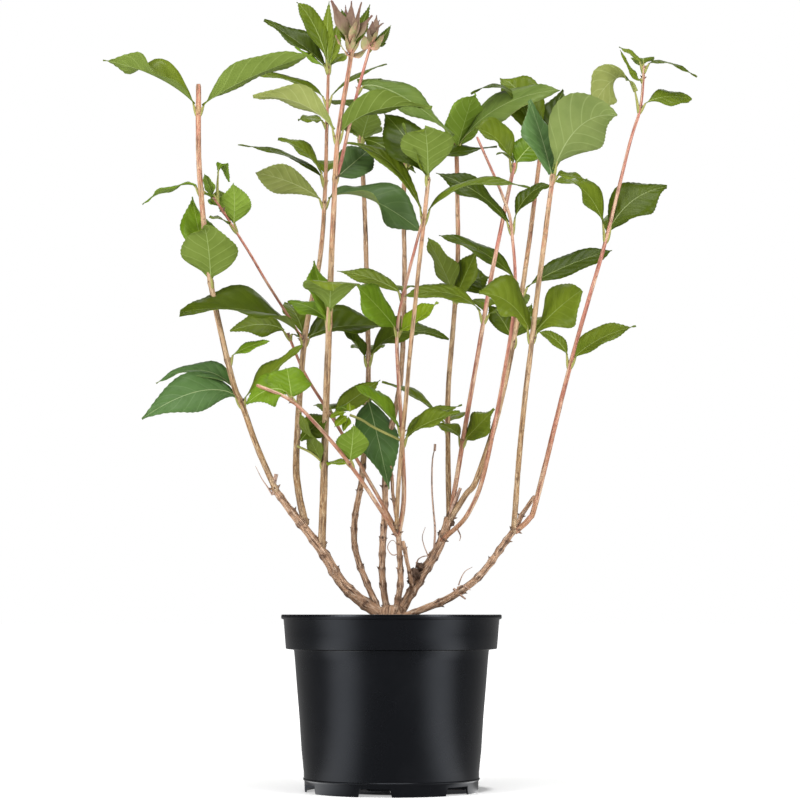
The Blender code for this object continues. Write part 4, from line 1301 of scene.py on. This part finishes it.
def add_stalk(bm, limb, share, end):
    """The short stalk that runs up the side of a cane and out to a leaf."""
    foot = limb.at(share)
    heading = limb.heading(share)
    away = end - foot
    away = (away - heading * away.dot(heading)).normalized()
    radius = limb.radius(share) * (1.0 + JOINT_SWELL)
    low = limb.at(max(0.0, share - STALK_RUN / limb.length)) + away * radius * 0.55
    knee = foot + away * radius * 1.05
    steps = len(STALK_RADII) - 1
    line = []
    for step in range(steps + 1):
        part = step / steps
        line.append(low * (1 - part) ** 2 + knee * 2 * part * (1 - part) + end * part * part)
    round_rod(bm, line, STALK_RADII, STALK_SIDES, [STALK_AGE] * len(line))


def grow_joint(joint, limbs, leaves, buds, stalks, rng):
    """The leaves of one joint with their stalks, and its bracts, which have none."""
    limb_name, up, rows = joint
    limb = limbs[limb_name]
    share = limb.share_at(up)
    foot = limb.at(share)
    for row in rows:
        leaf = Leaf(*row)
        if leaf.tint in BUD_SHADES:
            grow_leaf(buds, foot, leaf, rng, bract=True)
        else:
            end = grow_leaf(leaves, foot, leaf, rng)
            add_stalk(stalks, limb, share, end)


def side_stalk(stalk, limbs, leaves, stalks, rng):
    """A thin side stalk with a few leaves at its end."""
    limb_name, up, places, radius, rows = stalk
    limb = limbs[limb_name]
    foot = limb.at(limb.share_at(up))
    line = curve_through([foot] + [sighted(place) for place in places], SIDE_STALK_STEPS)
    round_rod(stalks, line, [radius] * len(line), STALK_SIDES, [STALK_AGE] * len(line))
    for row in rows:
        grow_leaf(leaves, line[-1], Leaf(*row), rng)


def grow_foliage(limbs, rng):
    """Leaves, bud scales and stalks on every leafy joint of the limbs."""
    light_masses = [name for name in FOLIAGE if name not in DARK_MASSES + BUD_MASSES]
    faces = leaf_materials()
    backs = 2 * len(TINTS)
    stalks = bark_mesh()
    buds = leaf_mesh()
    for piece_name, slot, masses in (("leaves", "leaf", light_masses),
                                     ("dark_leaves", "dark_leaf", DARK_MASSES)):
        leaves = leaf_mesh()
        for mass in masses:
            for joint in FOLIAGE[mass]:
                grow_joint(joint, limbs, leaves, buds, stalks, rng)
        thin_sheet(finish_piece(piece_name, leaves, faces, masses), LEAF_THICK, backs)
    small_leaves = leaf_mesh()
    for joint in [joint for mass in BUD_MASSES for joint in FOLIAGE[mass]] + list(FINE_LEAVES):
        grow_joint(joint, limbs, small_leaves, buds, stalks, rng)
    for stalk in SIDE_STALKS:
        side_stalk(stalk, limbs, small_leaves, stalks, rng)
    thin_sheet(finish_piece("leaves_under_buds", small_leaves, faces, []),
               LEAF_THICK, backs)
    scales = [bud_material(tint) for tint in BUD_TINTS]
    thin_sheet(finish_piece("bud_scales", buds, scales, BUD_MASSES), SCALE_THICK)
    finish_piece("leaf_stalks", stalks, [bark_material("green_stalk")], [])


def build_plant():
    """Every limb, leaf, stalk and bud, joined by kind."""
    rng = random.Random(SEED)
    limbs = {name: Limb(name, *sizes) for name, sizes in LIMBS.items()}
    for joints in FOLIAGE.values():
        for limb_name, up, _ in joints:
            limbs[limb_name].nodes.append(limbs[limb_name].share_at(up))
    for limb in limbs.values():
        scar_limb(limb, rng)
    build_limbs(limbs, rng)
    build_dead_wood(limbs, rng)
    grow_foliage(limbs, rng)


# --------------------------------------------------------------- pot and soil

SPIN_STEPS = 168
EDGE_ANGLE = math.radians(38)
# the cutter of each notch under the pot: inner and outer radius, low and high, half widths
NOTCHES = 6
NOTCH_TURN = math.radians(-10.4)
NOTCH_RADII = (62.0, 95.0)
NOTCH_HEIGHTS = (-2.0, 8.0)
NOTCH_HALF_WIDTHS = {"outer_foot": 20.5, "outer_top": 17.5, "inner": 10.0}
# outline of the pot's wall as (radius, height), up the outside, over the lip and down inside
POT_PROFILE = (
    (0.0, 4.5), (70, 4.5), (84.2, 4.5), (84.2, 0.4), (84.6, 0), (85.4, 0), (85.8, 0.4),
    (86.2, 10.6), (86.6, 11.6), (87.5, 12.3), (87.5, 13.1), (86.7, 13.9), (86.9, 20),
    (89.1, 40.7), (91.1, 70.3), (93.6, 100), (96, 129.6), (96.9, 138.7), (97.4, 139.5),
    (98.2, 139.8), (103.9, 140.4), (104.7, 140.7), (105.1, 141.4), (106.2, 154.3),
    (107.3, 168.7), (107.6, 169.6), (108.4, 170), (109.1, 170.2), (109.6, 170.6),
    (109.75, 171.4), (109.75, 173.2), (109.5, 174), (108.9, 174.4), (108.1, 174.5),
    (106.6, 174.5), (106, 174.3), (105.6, 173.8), (105.2, 170.1), (102.9, 141.8),
    (102.5, 141.3), (96.3, 140.6), (95.3, 139.9), (94.9, 139.1), (91.6, 100), (87.2, 40.7),
    (84.8, 14), (83.6, 7.6), (82.4, 7), (0.0, 7))


def profile_spun(bm, profile, steps):
    """A closed turned solid from a profile of (radius, height), both ends on the axis."""
    chain = [bm.verts.new((radius, 0.0, height)) for radius, height in profile]
    edges = [bm.edges.new(pair) for pair in zip(chain, chain[1:])]
    bmesh.ops.spin(bm, geom=chain + edges, cent=(0.0, 0.0, 0.0), axis=(0.0, 0.0, 1.0),
                   angle=2 * math.pi, steps=steps, use_merge=True, use_duplicate=False)
    bmesh.ops.remove_doubles(bm, verts=bm.verts, dist=0.001)
    bmesh.ops.recalc_face_normals(bm, faces=bm.faces)


def notch_cutter():
    """The trapezoid slots under the pot, as one cutter object."""
    bm = bmesh.new()
    for slot in range(NOTCHES):
        turn = Matrix.Rotation(NOTCH_TURN + slot * 2 * math.pi / NOTCHES, 4, "Z")
        for vert in bmesh.ops.create_cube(bm, size=1.0)["verts"]:
            outer = vert.co.y < 0.0
            top = vert.co.z > 0.0
            corner = ("outer_top" if top else "outer_foot") if outer else "inner"
            across = math.copysign(NOTCH_HALF_WIDTHS[corner], vert.co.x)
            vert.co = turn @ Vector((across, -NOTCH_RADII[outer], NOTCH_HEIGHTS[top]))
    bmesh.ops.recalc_face_normals(bm, faces=bm.faces)
    return new_object("notches", bm)


def build_pot():
    """The nursery pot: rounded lip, stepped band, tapering wall, foot with notches."""
    bm = bmesh.new()
    profile_spun(bm, POT_PROFILE, SPIN_STEPS)
    shell = new_object("pot_shell", bm)
    cutter = notch_cutter()
    cut = shell.modifiers.new("notches", "BOOLEAN")
    cut.operation = "DIFFERENCE"
    cut.solver = "EXACT"
    cut.object = cutter
    view = bpy.context.evaluated_depsgraph_get()
    done = bmesh.new()
    done.from_mesh(bpy.data.meshes.new_from_object(shell.evaluated_get(view)))
    bpy.data.objects.remove(cutter)
    bpy.data.objects.remove(shell)
    for face in done.faces:
        face.material_index = 0
    pot = finish_piece("nursery_pot", done, [pot_material()], ["pot"])
    pot.data.set_sharp_from_angle(angle=EDGE_ANGLE)


MIX_UP = 162.5
MIX_WALL = 101.6
MIX_RINGS = 34
MIX_STEPS = 110
# the outline of the mix below its surface as (radius, height)
MIX_PROFILE = ((0.0, 8.0), (81.6, 8.0), (90.0, 101.0), (94.2, 141.0), (100.6, 145.0))
CRUMBS = 620
CRUMBS_REACH = 97.0
CHIP_SHARE = 0.3
CHIP_SHAPE = Vector((2.2, 0.8, 0.4))
CRUMB_SHAPE = Vector((1.0, 0.9, 0.7))


def mix_lift(place):
    """The broad rise and fall of the mix at a place."""
    spot = place * 0.05
    return 3.0 * noise.noise(spot) + 1.6 * noise.noise(spot * 3.1)


def mix_surface():
    """The body of the mix, with a rough top."""
    bm = bmesh.new()
    top = [(MIX_WALL * (1.0 - ring / MIX_RINGS), MIX_UP) for ring in range(MIX_RINGS + 1)]
    profile_spun(bm, list(MIX_PROFILE) + top, MIX_STEPS)
    for vert in bm.verts:
        if vert.co.z > MIX_UP - 1.0:
            grit = 0.8 * noise.noise(vert.co * 0.05 * 9.0) - 0.8
            vert.co.z += mix_lift(vert.co) + grit
    return bm


def add_crumb(bm, rng):
    """One crumb or bark chip that lies on the mix."""
    radius = CRUMBS_REACH * math.sqrt(rng.random())
    turn = rng.uniform(0.0, 2 * math.pi)
    size = rng.uniform(0.8, 2.6)
    spot = Vector((radius * math.cos(turn), radius * math.sin(turn), MIX_UP))
    made = bmesh.ops.create_icosphere(bm, subdivisions=1, radius=size)["verts"]
    spun = Matrix.Rotation(rng.uniform(0, 6.28), 4, "Z")
    tilted = Matrix.Rotation(rng.uniform(-0.6, 0.6), 4, "X")
    chip = rng.random() < CHIP_SHARE
    shape = CHIP_SHAPE if chip else CRUMB_SHAPE
    for vert in made:
        rough = 1.0 + 0.35 * noise.noise(vert.co * 0.9 + spot)
        vert.co = spun @ tilted @ (vert.co * shape * rough)
    bmesh.ops.translate(bm, verts=made, vec=spot + UP * (mix_lift(spot) + 0.2 * size))
    for face in {face for vert in made for face in vert.link_faces}:
        face.material_index = 1 if chip else 0


def build_soil(rng):
    """The potting mix: a rough surface with crumbs and a few bark chips."""
    mix = soil_material()
    finish_piece("potting_mix", mix_surface(), [mix], ["soil"])
    crumbs = bmesh.new()
    for _ in range(CRUMBS):
        add_crumb(crumbs, rng)
    finish_piece("potting_mix_crumbs", crumbs, [mix, bark_material("bark_chips")], [],
                 smooth=False)


# ------------------------------------------------------------- floor and light

WHITE = (1.0, 1.0, 1.0, 1.0)
FLOOR_HALF = 40.0
# the floor glows like the surround, less near the pot so that the pot's shade shows, and not at
# all under the pot's foot, which is painted shade
FLOOR_GLOW = 0.42
GLOW_REACH = (0.8, 2.2)
FOOT_SHADE = (0.080, 0.090)
# painted reflection: shiny surfaces see the floor as two soft bright sectors in front and dark
# elsewhere, which paints the pot's two highlights
SHEEN_TURN = 0.95
SHEEN_EDGE = (0.10, 0.45)
SHEEN_FULL = 2.4
SHEEN_REST = 0.30
SURROUND_LIGHT = 0.34
MIRRORED_LIGHT = 0.10


def floor_glow(finish, place, mirrored):
    """How brightly the floor shines at a place, to the eye and in reflections."""
    length = finish.nodes.new("ShaderNodeVectorMath")
    length.operation = "LENGTH"
    finish.feed(length.inputs[0], place)
    away = length.outputs["Value"]
    far = finish.ramp(away, *GLOW_REACH)
    glow = finish.plus(FLOOR_GLOW, finish.times(far, 1.0 - FLOOR_GLOW))
    # painted shade: no glow under the pot's foot
    plain_glow = finish.times(glow, finish.ramp(away, *FOOT_SHADE))
    # painted reflection: the bright sectors and the dark rest, for glossy rays only
    x, y, _ = finish.parts(place)
    turn = finish.maths("ABSOLUTE", finish.maths("ARCTAN2", x, finish.times(y, -1.0)))
    off_sector = finish.maths("ABSOLUTE", finish.less(turn, SHEEN_TURN))
    dark_share = finish.ramp(off_sector, *SHEEN_EDGE)
    sheen = finish.less(SHEEN_FULL, finish.times(dark_share, SHEEN_FULL - SHEEN_REST))
    return finish.plus(plain_glow, finish.times(mirrored, finish.less(sheen, plain_glow)))


def build_floor():
    """A pale glowing floor, with painted shade under the pot's foot and painted bright sectors
    that only reflections see.
    """
    bm = bmesh.new()
    bmesh.ops.create_grid(bm, x_segments=1, y_segments=1, size=FLOOR_HALF)
    floor = new_object("floor", bm)
    finish = Finish("pale_floor")
    place = finish.place()
    mirrored = finish.nodes.new("ShaderNodeLightPath").outputs["Is Glossy Ray"]
    soft = finish.noise(place, scale=2.0)
    pale = finish.blend(soft, (0.78, 0.78, 0.78), (0.80, 0.80, 0.80))
    # painted reflection: in glossy rays the floor's own colour is near black
    finish.set("Base Color", finish.blend(mirrored, pale, (0.02, 0.02, 0.02)))
    finish.set("Emission Color", WHITE[:3])
    finish.set("Emission Strength", floor_glow(finish, place, mirrored))
    finish.set("Roughness", 0.9)
    finish.set("Specular IOR Level", 0.0)
    floor.data.materials.append(finish.material)


def build_surround():
    """A white surround: white to the eye, dimmer as a light and dark in reflections."""
    world = bpy.data.worlds.new("studio")
    bpy.context.scene.world = world
    world.use_nodes = True
    nodes = world.node_tree.nodes
    links = world.node_tree.links
    rays = nodes.new("ShaderNodeLightPath")
    shown = nodes["Background"]
    shown.inputs["Color"].default_value = WHITE
    shown.inputs["Strength"].default_value = SURROUND_LIGHT
    for ray, strength in (("Is Camera Ray", 1.0), ("Is Glossy Ray", MIRRORED_LIGHT)):
        other = nodes.new("ShaderNodeBackground")
        other.inputs["Color"].default_value = WHITE
        other.inputs["Strength"].default_value = strength
        either = nodes.new("ShaderNodeMixShader")
        links.new(rays.outputs[ray], either.inputs[0])
        links.new(shown.outputs[0], either.inputs[1])
        links.new(other.outputs[0], either.inputs[2])
        shown = either
    links.new(shown.outputs[0], nodes["World Output"].inputs["Surface"])


# large soft lights in front on both sides, above and behind: (name, place and side in metres,
# power in watts)
LIGHTS = (
    ("left_box", (-2.0, -1.75, 1.1), 1.1, 40.0),
    ("right_box", (2.0, -1.75, 1.1), 1.1, 34.0),
    ("top_box", (0.0, -0.5, 2.4), 1.2, 30.0),
    ("back_box", (0.2, 2.1, 1.6), 1.4, 10.0),
)
LIT_UP = 0.4


def build_lights():
    """Square area lights turned to the middle of the shrub."""
    middle = Vector((AXIS.x, AXIS.y, LIT_UP))
    for name, place, side, power in LIGHTS:
        data = bpy.data.lights.new(name, "AREA")
        data.shape = "SQUARE"
        data.size = side
        data.energy = power
        light = bpy.data.objects.new(name, data)
        light.location = place
        light.rotation_euler = (middle - Vector(place)).to_track_quat("-Z", "Y").to_euler()
        bpy.context.scene.collection.objects.link(light)


SENSOR = 36.0
# the width that is seen at the plan's distance, in millimetres
SEEN_WIDTH = 800.0
CLIP_END = 60.0


def build_camera():
    """The camera at standing distance, level with the rim and pitched up a little."""
    data = bpy.data.cameras.new("view")
    data.lens = SENSOR * SIGHT_DISTANCE / SEEN_WIDTH
    data.sensor_width = SENSOR
    data.clip_end = CLIP_END
    camera = bpy.data.objects.new("view", data)
    camera.location = AXIS + Vector((SIGHT_ACROSS, -SIGHT_DISTANCE, SIGHT_UP)) * MM
    camera.rotation_euler = (math.radians(90.0) + SIGHT_PITCH, 0.0, 0.0)
    bpy.context.scene.collection.objects.link(camera)
    bpy.context.scene.camera = camera


def main():
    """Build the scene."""
    build_floor()
    build_surround()
    build_lights()
    build_camera()
    build_pot()
    build_soil(random.Random(SEED + 1))
    build_plant()
    bpy.context.scene.view_settings.view_transform = "Standard"
    bpy.context.view_layer.update()


main()
